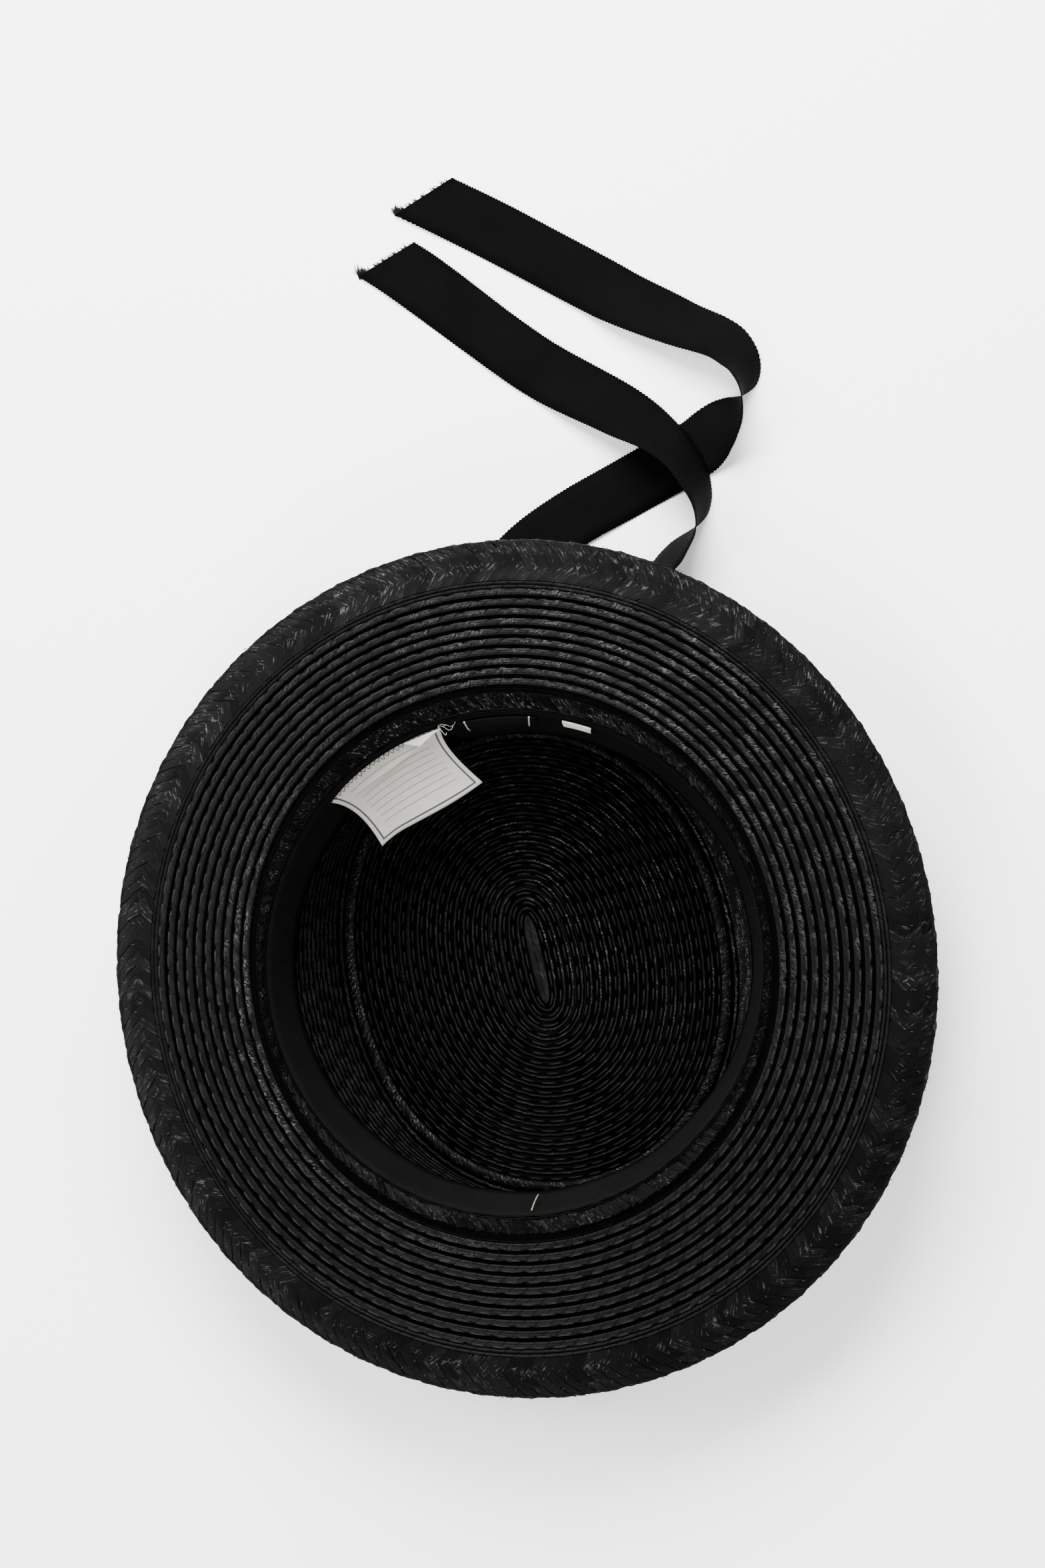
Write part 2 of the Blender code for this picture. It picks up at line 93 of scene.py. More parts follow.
# Plan of the hat: half width, half length, height and shift to the front, for each line of it
OVAL_SOFTNESS = 0.8
OUT = np.array((1.0, 1.0, 0.0, 0.0))
UP = np.array((0.0, 0.0, 1.0, 0.0))
MOUTH = np.array((0.0917, 0.0917, 0.0660, 0.0))
RIM_OUTER = np.array((0.0934, 0.0974, 0.0686, 0.0))
CROWN_LIP = np.array((0.0952, 0.0952, 0.0650, 0.0))
GROOVE = np.array((0.0954, 0.0999, 0.0688, 0.0))
GROOVE_FLOOR = GROOVE - 3.6 * MM * UP
ROWS_END = np.array((0.1359, 0.1415, 0.0610, 0.0019))
PLAIT_START = ROWS_END + 0.4 * MM * OUT - 0.2 * MM * UP
BRIM_END = np.array((0.1519, 0.1575, 0.0486, 0.0019))
TIP_HEART = np.array((0.0022, 0.0170, 0.0019, 0.0))
TIP_END = np.array((0.0705, 0.0861, 0.0019, 0.0))
RIB_LINE = np.array((0.0712, 0.0868, 0.0036, 0.0))
RIB_START = RIB_LINE - 1.6 * MM * OUT - 0.9 * MM * UP
RIB_END = RIB_LINE + 1.7 * MM * OUT - 0.9 * MM * UP
WALL_FOOT = np.array((0.0760, 0.0915, 0.0021, 0.0))
CORNER_END = WALL_FOOT - 0.3 * MM * OUT - 0.2 * MM * UP
WALL_TOP = np.array((0.0924, 0.0924, 0.0650, 0.0))
SKIN_HEART = np.array((0.0010, 0.0160, 0.0004, 0.0))
SKIN_FOOT = np.array((0.0772, 0.0927, 0.0004, 0.0))
SKIN_TOP = np.array((0.0944, 0.0944, 0.0652, 0.0))
SWEATBAND_HEAD = np.array((0.0912, 0.0912, 0.0, 0.0))
SWEATBAND_FOOT = np.array((0.0851, 0.0845, 0.0, 0.0))

# Rows of braid
BRIM_ROWS = 10
EDGE_LINES = 2
EDGE_LINE_SHARE = 0.4
TIP_ROWS = 19
WALL_ROWS = 17
UNSEWN_WALL_ROWS = 3
BRIM_STEPS = 5
CROWN_STEPS = 3
ROW_THICK = 1.15 * MM
ROW_WIDTH = 4.1 * MM
ROW_SPLINT = 5.4 * MM
ROW_SLANT = 0.9
# How far the splints tilt, in thicknesses, and how far the scalloped edge swings, rises and drifts
ROW_TILT = (0.03, 0.26)
ROW_SWING = (0.5, 1.3)
ROW_RISE = 0.22
ROW_DRIFT = 0.15
STITCH_PITCH = 7.8 * MM
STITCH_LENGTH = 6.4 * MM
STITCH_BOW = np.array((-0.55, 0.10, 0.22, 0.10, -0.55)) * MM
THREAD_RADIUS = 0.12 * MM
# Shares of a row where its doubled thread shows
BRIM_SEAM = (0.80, 0.90)
CROWN_SEAM = (0.38, 0.46)
# A row's UVs lie in a lane picked by chance, and those of a plait's splints in one lane after another
UV_LANE = 10 * MM
UV_LANE_START = 0.3

# Plaits. start and end: shares of the plait's width. shift: along it, from start to end. room: share
# of a splint's place that it fills. start_high and end_high: above the plait. mitre: lean of its ends.
PLAIT_WIDTH = 20 * MM
EDGE_PITCH = 4.9 * MM
EDGE_BULGE = 0.9 * MM
EDGE_SPLINTS = {
    # start, end, shift, room, start_high, end_high, mitre
    "outer": (0.61, 0.98, 4.95 * MM, 0.955, -0.12 * MM, 0.00, -0.10),
    "middle": (0.27, 0.67, 5.50 * MM, 0.955, 0.00, 0.10 * MM, -0.20),
    "inner": (0.35, -0.02, 5.40 * MM, 0.955, 0.12 * MM, -0.06 * MM, 0.20),
}
RIM_PITCH = 3.4 * MM
RIM_SPLINT = (0.16, 1.04, 4.2 * MM, 0.92, 0.10 * MM, 0.05 * MM, 0.0)
RIM_ROLL = 0.7 * MM
RIM_SHARE = 0.985
RIB_PITCH = 2.3 * MM
RIB_SPLINT = (0.0, 1.0, 3.2 * MM, 0.9, 0.0, 0.0, 0.0)
# What a surface's width and a radian round it measure, for laying splinters
SPLINTER_ROW = 5 * MM
SPLINTER_ARC = 120 * MM
SPLINTER_RADII = np.array((0.05, 0.13, 0.11, 0.03)) * MM

# Lacquer: broken facets per metre, along and across their slant
FACETS = (2100.0, 750.0)

# Ribbon and cloth
GROSGRAIN_PITCH = 0.63 * MM
SCALLOP_PITCH = 1.26 * MM
SCALLOP_DEPTH = 0.36 * MM
RIBBON_WIDTH = 23 * MM
RIBBON_THICK = 0.5 * MM
CAD_RIBBON_THICK = 1.0 * MM
# The knot's level directions, along the crown and out of it
KNOT_ACROSS = np.array((0.99255, -0.12187, 0.0))
KNOT_OUTWARD = np.array((0.12187, 0.99255, 0.0))
KNOT_HALF_WIDTH = 7.4 * MM
KNOT_HALF_DEPTH = 2.9 * MM
# The ends of the label's free edge
LABEL_FOOT = np.array(((-0.0425, 0.0560, 0.0362), (0.0005, 0.0680, 0.0425)))
LABEL_SIZE = (46 * MM, 34 * MM)
LABEL_INSET = 1.9 * MM
LABEL_LINE = 0.75 * MM
RULE_PITCH = 3.1 * MM
NAME_TAG_SIZE = (29 * MM, 9 * MM)
NAME_TAG_INSET = 2.6 * MM
SIZE_TAG_SIZE = (11 * MM, 7 * MM)
WEAVE_PITCH = 0.45 * MM

# Section of a braid row on the brim. across: share of the row, from under the last row's edge to this
# row's edge. high: in thicknesses above the mean slope. wave: how far it follows the scalloped edge.
# facet: how far it follows the tilt of each splint.
BRIM_ROW = (
    # across, high, wave, facet
    (-0.34, -1.10, 0.0, 0.0),
    (0.04, -1.35, 0.0, 0.0),
    (0.22, -1.25, 0.0, 0.0),
    (0.33, -0.60, 0.0, 0.4),
    (0.38, -0.02, 0.0, 1.0),
    (0.53, 0.10, 0.0, 1.0),
    (0.68, 0.14, 0.1, 0.8),
    (0.75, 0.06, 0.3, 0.4),
    (0.82, 0.14, 0.7, 0.4),
    (0.89, 0.12, 1.0, 0.3),
    (0.94, -0.12, 1.0, 0.0),
    (0.91, -0.40, 0.9, 0.0),
    (0.60, -0.45, 0.2, 0.0),
    (0.00, -1.65, 0.0, 0.0),
    (-0.34, -1.65, 0.0, 0.0),
)
# The same for a smooth edge line between the rows and the broad plait.
EDGE_LINE = (
    # across, high, wave, facet
    (-0.40, -1.00, 0.0, 0.0),
    (0.05, -0.95, 0.0, 0.0),
    (0.20, -0.35, 0.0, 0.0),
    (0.40, 0.05, 0.0, 0.0),
    (0.65, 0.16, 0.0, 0.0),
    (0.85, 0.02, 0.1, 0.0),
    (0.95, -0.30, 0.1, 0.0),
    (0.60, -0.80, 0.0, 0.0),
    (-0.40, -1.40, 0.0, 0.0),
)
# The same for a row of the crown, with fewer lines.
CROWN_ROW = (
    # across, high, wave, facet
    (-0.42, -1.00, 0.0, 0.0),
    (0.10, -0.90, 0.0, 0.0),
    (0.26, -0.55, 0.0, 0.5),
    (0.58, -0.42, 0.1, 0.6),
    (0.72, -0.36, 0.2, 0.3),
    (0.77, 0.16, 0.4, 0.2),
    (0.90, 0.24, 0.5, 0.2),
    (0.95, -0.10, 0.5, 0.0),
    (0.60, -0.75, 0.0, 0.0),
    (-0.42, -1.45, 0.0, 0.0),
)



# Meshes


def make_object(name, points, faces, uvs=None, values=None):
    """A smooth mesh. uvs has a place for each face's corner, and values a number for each point."""
    mesh = bpy.data.meshes.new(name)
    mesh.from_pydata(np.asarray(points).reshape(-1, 3).tolist(), [], faces)
    if uvs is not None:
        layer = mesh.uv_layers.new(name="UVMap")
        layer.data.foreach_set("uv", np.asarray(uvs, float).ravel())
    for label, numbers in (values or {}).items():
        attribute = mesh.attributes.new(label, "FLOAT", "POINT")
        attribute.data.foreach_set("value", np.asarray(numbers, float).ravel())
    mesh.shade_smooth()
    mesh.update()
    obj = bpy.data.objects.new(name, mesh)
    bpy.context.scene.collection.objects.link(obj)
    return obj


def dress(obj, material, replaced=()):
    """Gives a new piece its material and says what it rides on and stands for."""
    obj.data.materials.append(material)
    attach(obj, "root")
    if replaced:
        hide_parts(*replaced)
    return obj


def grid_faces(along, across, wrap_along, wrap_across):
    """Corner indices of a grid's quads, and the same without wrapping, for its UVs."""
    columns = along if wrap_along else along - 1
    rows = across if wrap_across else across - 1
    i, j = np.meshgrid(np.arange(columns), np.arange(rows), indexing="ij")
    corners = ((i, j), (i, j + 1), (i + 1, j + 1), (i + 1, j))
    wrapped = [(a % along) * across + b % across for a, b in corners]
    plain = [a * (rows + 1) + b for a, b in corners]
    return np.stack(wrapped, -1).reshape(-1, 4), np.stack(plain, -1).reshape(-1)


def end_caps(along, across):
    """Corner indices of the quads that close both ends of a flat tube, and the same for its UVs."""
    j = np.arange(across // 2 - 1)
    first = np.stack([j, across - 1 - j, across - 2 - j, j + 1], -1)
    last = first[:, ::-1] + (along - 1) * across
    plain_last = first[:, ::-1] + (along - 1) * (across + 1)
    return np.concatenate([first, last]), np.concatenate([first, plain_last]).reshape(-1)


def make_grid(name, points, along_metres, across_metres, wrap=(True, False), values=None):
    """A grid of points (along, across, 3), with UVs in metres, closed on itself where wrap says so."""
    faces, plain = grid_faces(*points.shape[:2], *wrap)
    if wrap == (False, True):
        caps, cap_plain = end_caps(*points.shape[:2])
        faces, plain = np.concatenate([faces, caps]), np.concatenate([plain, cap_plain])
    u, v = np.meshgrid(along_metres, across_metres, indexing="ij")
    uvs = np.stack([u, v], -1).reshape(-1, 2)[plain]
    return make_object(name, points, faces.tolist(), uvs, values)


def make_tubes(name, paths, radii, sides=4):
    """One mesh of closed tubes along an array of paths (count, points, 3)."""
    count, length = paths.shape[:2]
    ahead = unit(np.gradient(paths, axis=1))
    up = np.where(np.abs(ahead[..., 2:]) > 0.9, (1.0, 0.0, 0.0), (0.0, 0.0, 1.0))
    side = unit(np.cross(ahead, up))
    over = np.cross(side, ahead)
    turn = turns(sides)
    radii = np.broadcast_to(radii, (count, length))[..., None, None]
    ring = np.cos(turn)[:, None] * side[:, :, None] + np.sin(turn)[:, None] * over[:, :, None]
    points = paths[:, :, None] + ring * radii
    block, _ = grid_faces(length, sides, False, True)
    faces = []
    for first in range(0, count * length * sides, length * sides):
        last = first + (length - 1) * sides
        faces += (block[:, ::-1] + first).tolist()
        faces.append([first + corner for corner in range(sides)])
        faces.append([last + corner for corner in reversed(range(sides))])
    return make_object(name, points, faces)


# Sums


def mix(low, high, share):
    return low + (high - low) * share


def unit(vectors):
    return vectors / (np.linalg.norm(vectors, axis=-1, keepdims=True) + 1e-12)


def run_lengths(points):
    """Distance along a line of points, from 0 at its first one."""
    steps = np.linalg.norm(np.diff(points, axis=0), axis=-1)
    return np.concatenate([[0.0], np.cumsum(steps)])


def there_and_back(values):
    """Values across a sheet's upper side, and back across its lower one."""
    return np.concatenate([values, values[::-1]])


def smooth_curve(values, positions):
    """Points of a smooth curve through values, at positions counted in steps between them."""
    last = len(values) - 1
    step = np.clip(positions.astype(int), 0, last - 1)
    t = (positions - step)[:, None]
    before, one = values[np.maximum(step - 1, 0)], values[step]
    two, after = values[step + 1], values[np.minimum(step + 2, last)]
    return 0.5 * (
        2 * one
        + (two - before) * t
        + (2 * before - 5 * one + 4 * two - after) * t**2
        + (3 * one - before - 3 * two + after) * t**3
    )


def cad_box(node):
    """The lowest and highest corner of a CAD node."""
    low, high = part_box(node)
    return np.array(low), np.array(high)


# Ovals of the hat


def oval(angles, rings):
    """Points where angles meet rings of (half width, half length, height, forward)."""
    width, length, height, forward = np.moveaxis(np.asarray(rings, float), -1, 0)
    side = np.sin(angles)
    soft = side / np.hypot(side, OVAL_SOFTNESS) * math.hypot(1.0, OVAL_SOFTNESS)
    x = width * np.cos(angles)
    y = width * side + (length - width) * soft - forward
    return np.stack(np.broadcast_arrays(x, y, height), -1)


def ring_run(ring):
    """Dense angles round a ring and the distance run to each."""
    dense = np.linspace(0.0, FULL_TURN, 1441)
    return dense, run_lengths(oval(dense, ring))


def ring_length(ring):
    return ring_run(ring)[1][-1]


def ring_metres(ring, count):
    """The distance run to each of so many equal steps round a ring, and to its start again."""
    return np.arange(count + 1) * ring_length(ring) / count


def turns(count):
    """Angles of equal parts of a full turn."""
    return np.arange(count) * FULL_TURN / count


def even_angles(ring, count):
    """Angles of equal steps along a ring."""
    dense, run = ring_run(ring)
    return np.interp(np.arange(count) * run[-1] / count, run, dense)


def angles_at(ring, distances):
    """Angles at distances along a ring, which may pass its start."""
    dense, run = ring_run(ring)
    turns = np.floor(distances / run[-1])
    return np.interp(distances - turns * run[-1], run, dense) + turns * FULL_TURN


def wobble(angles, rng, waves, size):
    """A smooth random line round a ring, about size high, made of so many waves a turn."""
    total = np.zeros_like(angles)
    for wave in waves:
        total += np.cos(wave * angles + rng.uniform(0.0, FULL_TURN)) * rng.uniform(0.7, 1.4)
    return total * size / math.sqrt(len(waves))


def near_angle(angles, centre, reach):
    """1 at an angle and 0 past reach degrees from it."""
    away = np.abs((np.degrees(angles) - centre + 180.0) % 360.0 - 180.0)
    return np.clip(1.0 - away / reach, 0.0, 1.0) ** 0.7


def near_share(share, centre, reach):
    """1 at a share and 0 past reach from it."""
    return np.clip(1.0 - np.abs(share - centre) / reach, 0.0, 1.0)


def slope_length(start, end):
    return np.hypot(*(end - start)[[0, 2]])


def slope_normal(start, end):
    """The unit step of a ring's sizes straight up from the slope between two rings."""
    run, rise = (end - start)[[0, 2]] / slope_length(start, end)
    return np.array((-rise, -rise, run, 0.0))


# Rows of braid and their threads


def row_ends(rows, thin_rows=0):
    """Shares at which the rows end: equal rows, then the thin ones."""
    widths = np.array([1.0] * rows + [EDGE_LINE_SHARE] * thin_rows)
    return np.concatenate([[0.0], np.cumsum(widths) / widths.sum()])


def row_rings(first, last, ends):
    """The start and end ring of each row between two rings."""
    rings = mix(first, last, ends[:, None])
    return list(zip(rings[:-1], rings[1:]))


def braid_row(name, start, end, table, steps, rng, wear_and_glints):
    """A closed strip of braid round the hat, from one ring to the next, with the table's section."""
    middle = (start + end) / 2
    splints = round(ring_length(middle) / ROW_SPLINT)
    angles = even_angles(middle, splints * steps)
    phase = np.arange(len(angles)) / steps
    across, high, wave, facet = np.array(table).T[:, None, :]
    swing = rng.uniform(*ROW_SWING, splints)[phase.astype(int)]
    edge = (np.sin(math.pi * (phase % 1.0)) ** 0.7 - 0.6) * swing
    edge = (edge + wobble(angles, rng, (9, 14, 23, 31), 0.12))[:, None]
    slanted = phase[:, None] + ROW_SLANT * across
    tilt = rng.uniform(*ROW_TILT, splints)[np.floor(slanted).astype(int) % splints]
    lift = facet * (slanted % 1.0 - 0.5) * tilt + wave * (edge - 0.1) * ROW_RISE
    lift = lift + facet * wobble(angles, rng, (5, 8, 13, 29), 0.05)[:, None]
    place = across + wave * edge * ROW_DRIFT
    rings = mix(start, end, place[..., None])
    rings = rings + ((high + lift) * ROW_THICK)[..., None] * slope_normal(start, end)
    points = oval(angles[:, None], rings)
    lane = (rng.integers(1, 90) + UV_LANE_START) * UV_LANE
    metres = np.arange(len(angles) + 1) * ROW_SPLINT / steps
    widths = np.append(across[0], across[0, 0]) * slope_length(start, end) + lane
    # Where the lacquer is flaked and carries painted glints, round the hat.
    flakes_and_glints = np.broadcast_to(wear_and_glints(angles)[:, None], points.shape[:2])
    # The deep part under the neighbouring row is marked so that the paint turns it near black: painted shade.
    shaded_gap = np.broadcast_to(np.where(high < -0.35, 1.0, 0.0), points.shape[:2])
    return make_grid(name, points, metres, widths, (True, True), {"flake_and_glint": flakes_and_glints, "edge": shaded_gap})


def seam_rings(start, end, shares, rise):
    """The two rings that a row's doubled thread follows."""
    return [mix(start, end, share) + rise for share in shares]


def row_stitches(name, seams, rng):
    """Doubled threads that show in dashes along each seam."""
    paths = []
    for ring, beside in seams:
        length = ring_length(ring)
        count = round(length / STITCH_PITCH)
        centres = (np.arange(count) + rng.uniform(-0.08, 0.08, count)) * length / count
        sizes = STITCH_LENGTH * rng.uniform(0.75, 1.15, count)
        places = centres[:, None] + sizes[:, None] * np.linspace(-0.5, 0.5, 5)
        for thread in (0.0, 1.0):
            share = thread + rng.uniform(-0.14, 0.14, count)[:, None] * np.linspace(-1.0, 1.0, 5)
            rings = mix(ring, beside, share[..., None]) + STITCH_BOW[:, None] * UP
            paths.append(oval(angles_at(ring, places), rings))
    return make_tubes(name, np.concatenate(paths), THREAD_RADIUS, 3)


# Plaits


def plait_surface(inner, outer, bulge):
    """A function that gives points on a bulged band between two rings."""
    normal = slope_normal(inner, outer)

    def surface(angles, share, high):
        rise = high + bulge * np.sin(math.pi * np.clip(share, 0.0, 1.0))
        return oval(angles, mix(inner, outer, share[..., None]) + rise[..., None] * normal)

    return surface


def make_band(name, surface, ring, count, width, high, thick):
    """The plain closed band under a plait's splints."""
    share = there_and_back(np.linspace(0.0, 1.0, 7))
    height = high - thick * (np.arange(14) > 6)
    grid = np.broadcast_to(share, (count, share.size))
    points = surface(turns(count)[:, None], grid, height)
    widths = np.append(share, 0.0) * width + UV_LANE_START * UV_LANE
    values = {"flake_and_glint": np.zeros(grid.shape)}
    return make_grid(name, points, ring_metres(ring, count), widths, (True, True), values)


def make_splints(name, surface, ring, pitch, table, loose, wear_and_glints, rng):
    """Splints laid over a plait: surface(angles, share, high) gives a point of it.

    Their four sides turn down into the slits between them, and are marked so that the paint turns them near
    black, a painted shade. loose says how unevenly they lie, and the function for rubbing and glints says,
    from angles and shares, how rubbed they are and where bright glints are painted.
    """
    start, end, shift, room, start_high, end_high, mitre = table
    t = np.array((0.0, 0.0, 0.025, 0.2, 0.4, 0.6, 0.8, 0.975, 1.0, 1.0))[:, None]
    w = np.array((-0.5, -0.5, -0.46, 0.0, 0.46, 0.5, 0.5))[None, :]
    skirt = np.ones((t.size, w.size))
    skirt[0], skirt[-1], skirt[:, 0], skirt[:, -1] = 0.0, 0.0, 0.0, 0.0
    length = ring_length(ring)
    count = round(length / pitch)
    width = length / count * room

    def each(low, high):
        return rng.uniform(low, high, count)[:, None, None]

    tilt = each(0.02, 0.20) * MM * loose
    lift = each(-0.05, 0.07) * MM * loose
    slip = each(-0.05, 0.05) * width * loose
    twist = each(-0.16, 0.16) * MM * loose
    index = np.arange(count)[:, None, None]
    places = index * length / count + shift * t + width * w + slip
    share = mix(start, end, t) + mitre * w * (1.0 - t)
    crown = (0.25 - w**2) * 0.25 * MM
    high = mix(start_high, end_high, t) + (tilt + twist * (t - 0.5)) * w + lift + crown
    high = high * skirt - (1.0 - skirt) * 0.5 * MM
    share = np.broadcast_to(share, places.shape)
    angles = angles_at(ring, places)
    block, _ = grid_faces(t.size, w.size, False, False)
    faces = (block + index * t.size * w.size).reshape(-1, 4)
    u = (w + 0.5) * width + (index + UV_LANE_START) * UV_LANE + 0.0 * t
    v = np.broadcast_to(t * math.hypot(shift, (end - start) * PLAIT_WIDTH), u.shape)
    uvs = np.stack([u, v], -1).reshape(-1, 2)[faces.ravel()]
    # The turned-down sides are marked for near-black paint, a painted shade; the rest carries rubbing and
    # painted glints.
    inside = np.minimum(skirt, np.where((np.abs(w) < 0.49) & (t > 0.01) & (t < 0.99), 1.0, 0.5))
    values = {"edge": np.broadcast_to(1.0 - inside, u.shape), "flake_and_glint": wear_and_glints(angles, share)}
    return make_object(name, surface(angles, share, high), faces.tolist(), uvs, values)


def make_splinters(name, surface, shares, length, count, rng):
    """Torn splinters of straw that stand out of a braid, between two shares of a surface."""
    angles = rng.uniform(0.0, FULL_TURN, count)[:, None]
    out = np.linspace(-0.5, 0.5, 4)
    size = length * rng.uniform(0.4, 1.3, count)[:, None]
    turn = rng.uniform(-1.3, 1.3, count)[:, None]
    share = rng.uniform(*shares, count)[:, None] + out * size * np.cos(turn) / SPLINTER_ROW
    rise = np.array((-0.15, 0.22, 0.30, 0.10)) * MM * rng.uniform(0.6, 1.6, count)[:, None]
    points = surface(angles + out * size * np.sin(turn) / SPLINTER_ARC, share, rise)
    return make_tubes(name, points, SPLINTER_RADII, 3)


# Materials


def feed(socket, value):
    """Links a field or another node's output to a socket, or sets the socket to a plain value."""
    value = getattr(value, "socket", value)
    if isinstance(value, bpy.types.NodeSocket):
        socket.id_data.links.new(value, socket)
    else:
        socket.default_value = value


def add_node(tree, kind, inputs, **settings):
    node = tree.nodes.new("ShaderNode" + kind)
    for key, value in settings.items():
        setattr(node, key, value)
    for key, value in inputs.items():
        feed(node.inputs[key], value)
    return node


class Field:
    """A number that a material works out at each point, so that sums read as plain arithmetic."""

    def __init__(self, socket):
        self.socket = socket

    def math(self, operation, *others):
        inputs = dict(enumerate((self, *others)))
        return Field(add_node(self.socket.id_data, "Math", inputs, operation=operation).outputs[0])

    def __add__(self, other):
        return self.math("ADD", other)

    def __sub__(self, other):
        return self.math("SUBTRACT", other)

    def __mul__(self, other):
        return self.math("MULTIPLY", other)

    def __truediv__(self, other):
        return self.math("DIVIDE", other)

    def __mod__(self, other):
        return self.math("MODULO", other)

    def __or__(self, other):
        """The larger of the two."""
        return self.math("MAXIMUM", other)

    def near(self, centre, reach):
        """1 within reach of centre, and 0 elsewhere."""
        return self.math("COMPARE", centre, reach)


class Paint:
    """A node material: adds nodes and feeds them to its surface shader."""

    def __init__(self, name, **settings):
        self.material = bpy.data.materials.new(name)
        self.material.use_nodes = True
        self.tree = self.material.node_tree
        self.shader = self.tree.nodes["Principled BSDF"]
        for key, value in settings.items():
            self.set(key.replace("_", " "), value)

    def set(self, name, value):
        feed(self.shader.inputs[name], value)

    def add(self, kind, inputs, **settings):
        return add_node(self.tree, kind, inputs, **settings)

    def fade(self, value, low, high, start=0.0, end=1.0):
        """start where value is low, end where it is high, and smooth between."""
        inputs = {0: value, 1: low, 2: high, 3: start, 4: end}
        return Field(self.add("MapRange", inputs, interpolation_type="SMOOTHSTEP").outputs[0])

    def blend(self, share, one, two):
        return self.add("Mix", {0: share, 6: one, 7: two}, data_type="RGBA").outputs[2]

    def metres(self):
        """The two coordinates of the surface's UV map."""
        uv = self.add("UVMap", {}, uv_map="UVMap").outputs[0]
        split = self.add("SeparateXYZ", {0: uv})
        return Field(split.outputs[0]), Field(split.outputs[1])

    def place(self):
        return self.add("TexCoord", {}).outputs["Object"]

    def value(self, name):
        """A number that each point of the mesh has."""
        return Field(self.add("Attribute", {}, attribute_name=name).outputs["Fac"])

    def point(self, x, y, z=0.0):
        return self.add("CombineXYZ", {0: x, 1: y, 2: z}).outputs[0]

    def chance(self, x, y):
        """A random number for each cell."""
        noise = self.add("TexWhiteNoise", {"Vector": self.point(x, y)}, noise_dimensions="2D")
        return Field(noise.outputs["Value"])

    def noise(self, vector, scale, detail=2.0):
        inputs = {"Vector": vector, "Scale": scale, "Detail": detail}
        return Field(self.add("TexNoise", inputs).outputs["Fac"])

    def vector(self, operation, *inputs):
        return self.add("VectorMath", dict(enumerate(inputs)), operation=operation).outputs[0]

    def facets(self, u, v, strength):
        """Small slanted cells, as on broken lacquer: a normal tilted for each, and a random number."""
        slanted = self.point((u + v) * FACETS[0], (u - v) * FACETS[1])
        cells = self.add("TexVoronoi", {"Vector": slanted, "Scale": 1.0}, voronoi_dimensions="2D")
        colour = cells.outputs["Color"]
        tilt = self.vector("SUBTRACT", colour, (0.5, 0.5, 0.5))
        tilt = self.add("VectorMath", {0: tilt, "Scale": strength}, operation="SCALE").outputs[0]
        normal = self.add("NewGeometry", {}).outputs["Normal"]
        tilted = self.vector("NORMALIZE", self.vector("ADD", normal, tilt))
        return tilted, Field(self.add("SeparateXYZ", {0: colour}).outputs[0])

    def bump(self, height, normal=None):
        """Turns a height in metres into the surface's normal, over another normal where one is given."""
        inputs = {"Height": height, "Strength": 1.0, "Distance": 1.0}
        if normal:
            inputs["Normal"] = normal
        self.set("Normal", self.add("Bump", inputs).outputs[0])


def grey(level, blue=0.0):
    return (level, level, level * (1.0 + blue), 1.0)


def shade(colour, share=1.0):
    return (*(channel * share for channel in colour), 1.0)


def lacquer(name, gloss):
    return Paint(name, IOR=1.5, Coat_Weight=gloss / 3, Coat_Roughness=0.12, Specular_IOR_Level=gloss)


def straw_paint(name, tone, gloss, crease_shade=0.3):
    """Lacquered braid in rows: a tone and gloss for each splint, creases and deep gaps painted dark as
    painted shade, grain, and flaked lacquer painted bright as painted glints.
    """
    paint = lacquer(name, gloss)
    u, v = paint.metres()
    lane = (v / UV_LANE).math("FLOOR")
    across = (v - (lane + UV_LANE_START) * UV_LANE) / ROW_WIDTH
    slanted = across * ROW_SLANT + u / ROW_SPLINT
    share = slanted.math("FRACT")
    chance = paint.chance(slanted.math("FLOOR"), lane)
    crease = paint.fade(share, 0.0, 0.07, 1.0, 0.0) | paint.fade(share, 0.95, 1.0)
    grain = paint.noise(paint.point(slanted * 9.0, v * 260.0, lane), 1.0)
    dark = paint.fade(paint.value("edge"), 0.30, 0.75)
    patches = paint.fade(paint.noise(paint.place(), 120.0), 0.46, 0.60)
    # Flaked lacquer, partly real flaking and partly painted glints, on the outer part of each row.
    flaky_and_glinting = paint.value("flake_and_glint") * patches * paint.fade(across, 0.35, 0.75, 0.15, 1.0)
    facets, spark = paint.facets(u, v, flaky_and_glinting * 1.2)
    colour = paint.blend(chance, grey(tone), grey(tone * 1.5))
    # Painted shade: the creases between splints are painted darker, besides their dent in the bump.
    colour = paint.blend(crease, colour, grey(tone * crease_shade))
    # Painted glints: the flaked lacquer is painted bright bluish grey on its sparkling cells.
    colour = paint.blend(flaky_and_glinting * paint.fade(spark, 0.45, 0.90), colour, grey(0.085, 0.14))
    # Painted shade: the marked gaps between rows, and the crown skin's inner side, are painted near black.
    paint.set("Base Color", paint.blend(dark, colour, grey(tone * 0.05)))
    rough = chance * 0.16 + paint.fade(grain, 0.3, 0.7, 0.22, 0.42)
    paint.set("Roughness", rough + dark * 0.6 - flaky_and_glinting * 0.14)
    height = (share - 0.5) * (chance - 0.5) * (0.90 * MM) - crease * (0.12 * MM)
    paint.bump(height + grain * (0.03 * MM), facets)
    return paint.material


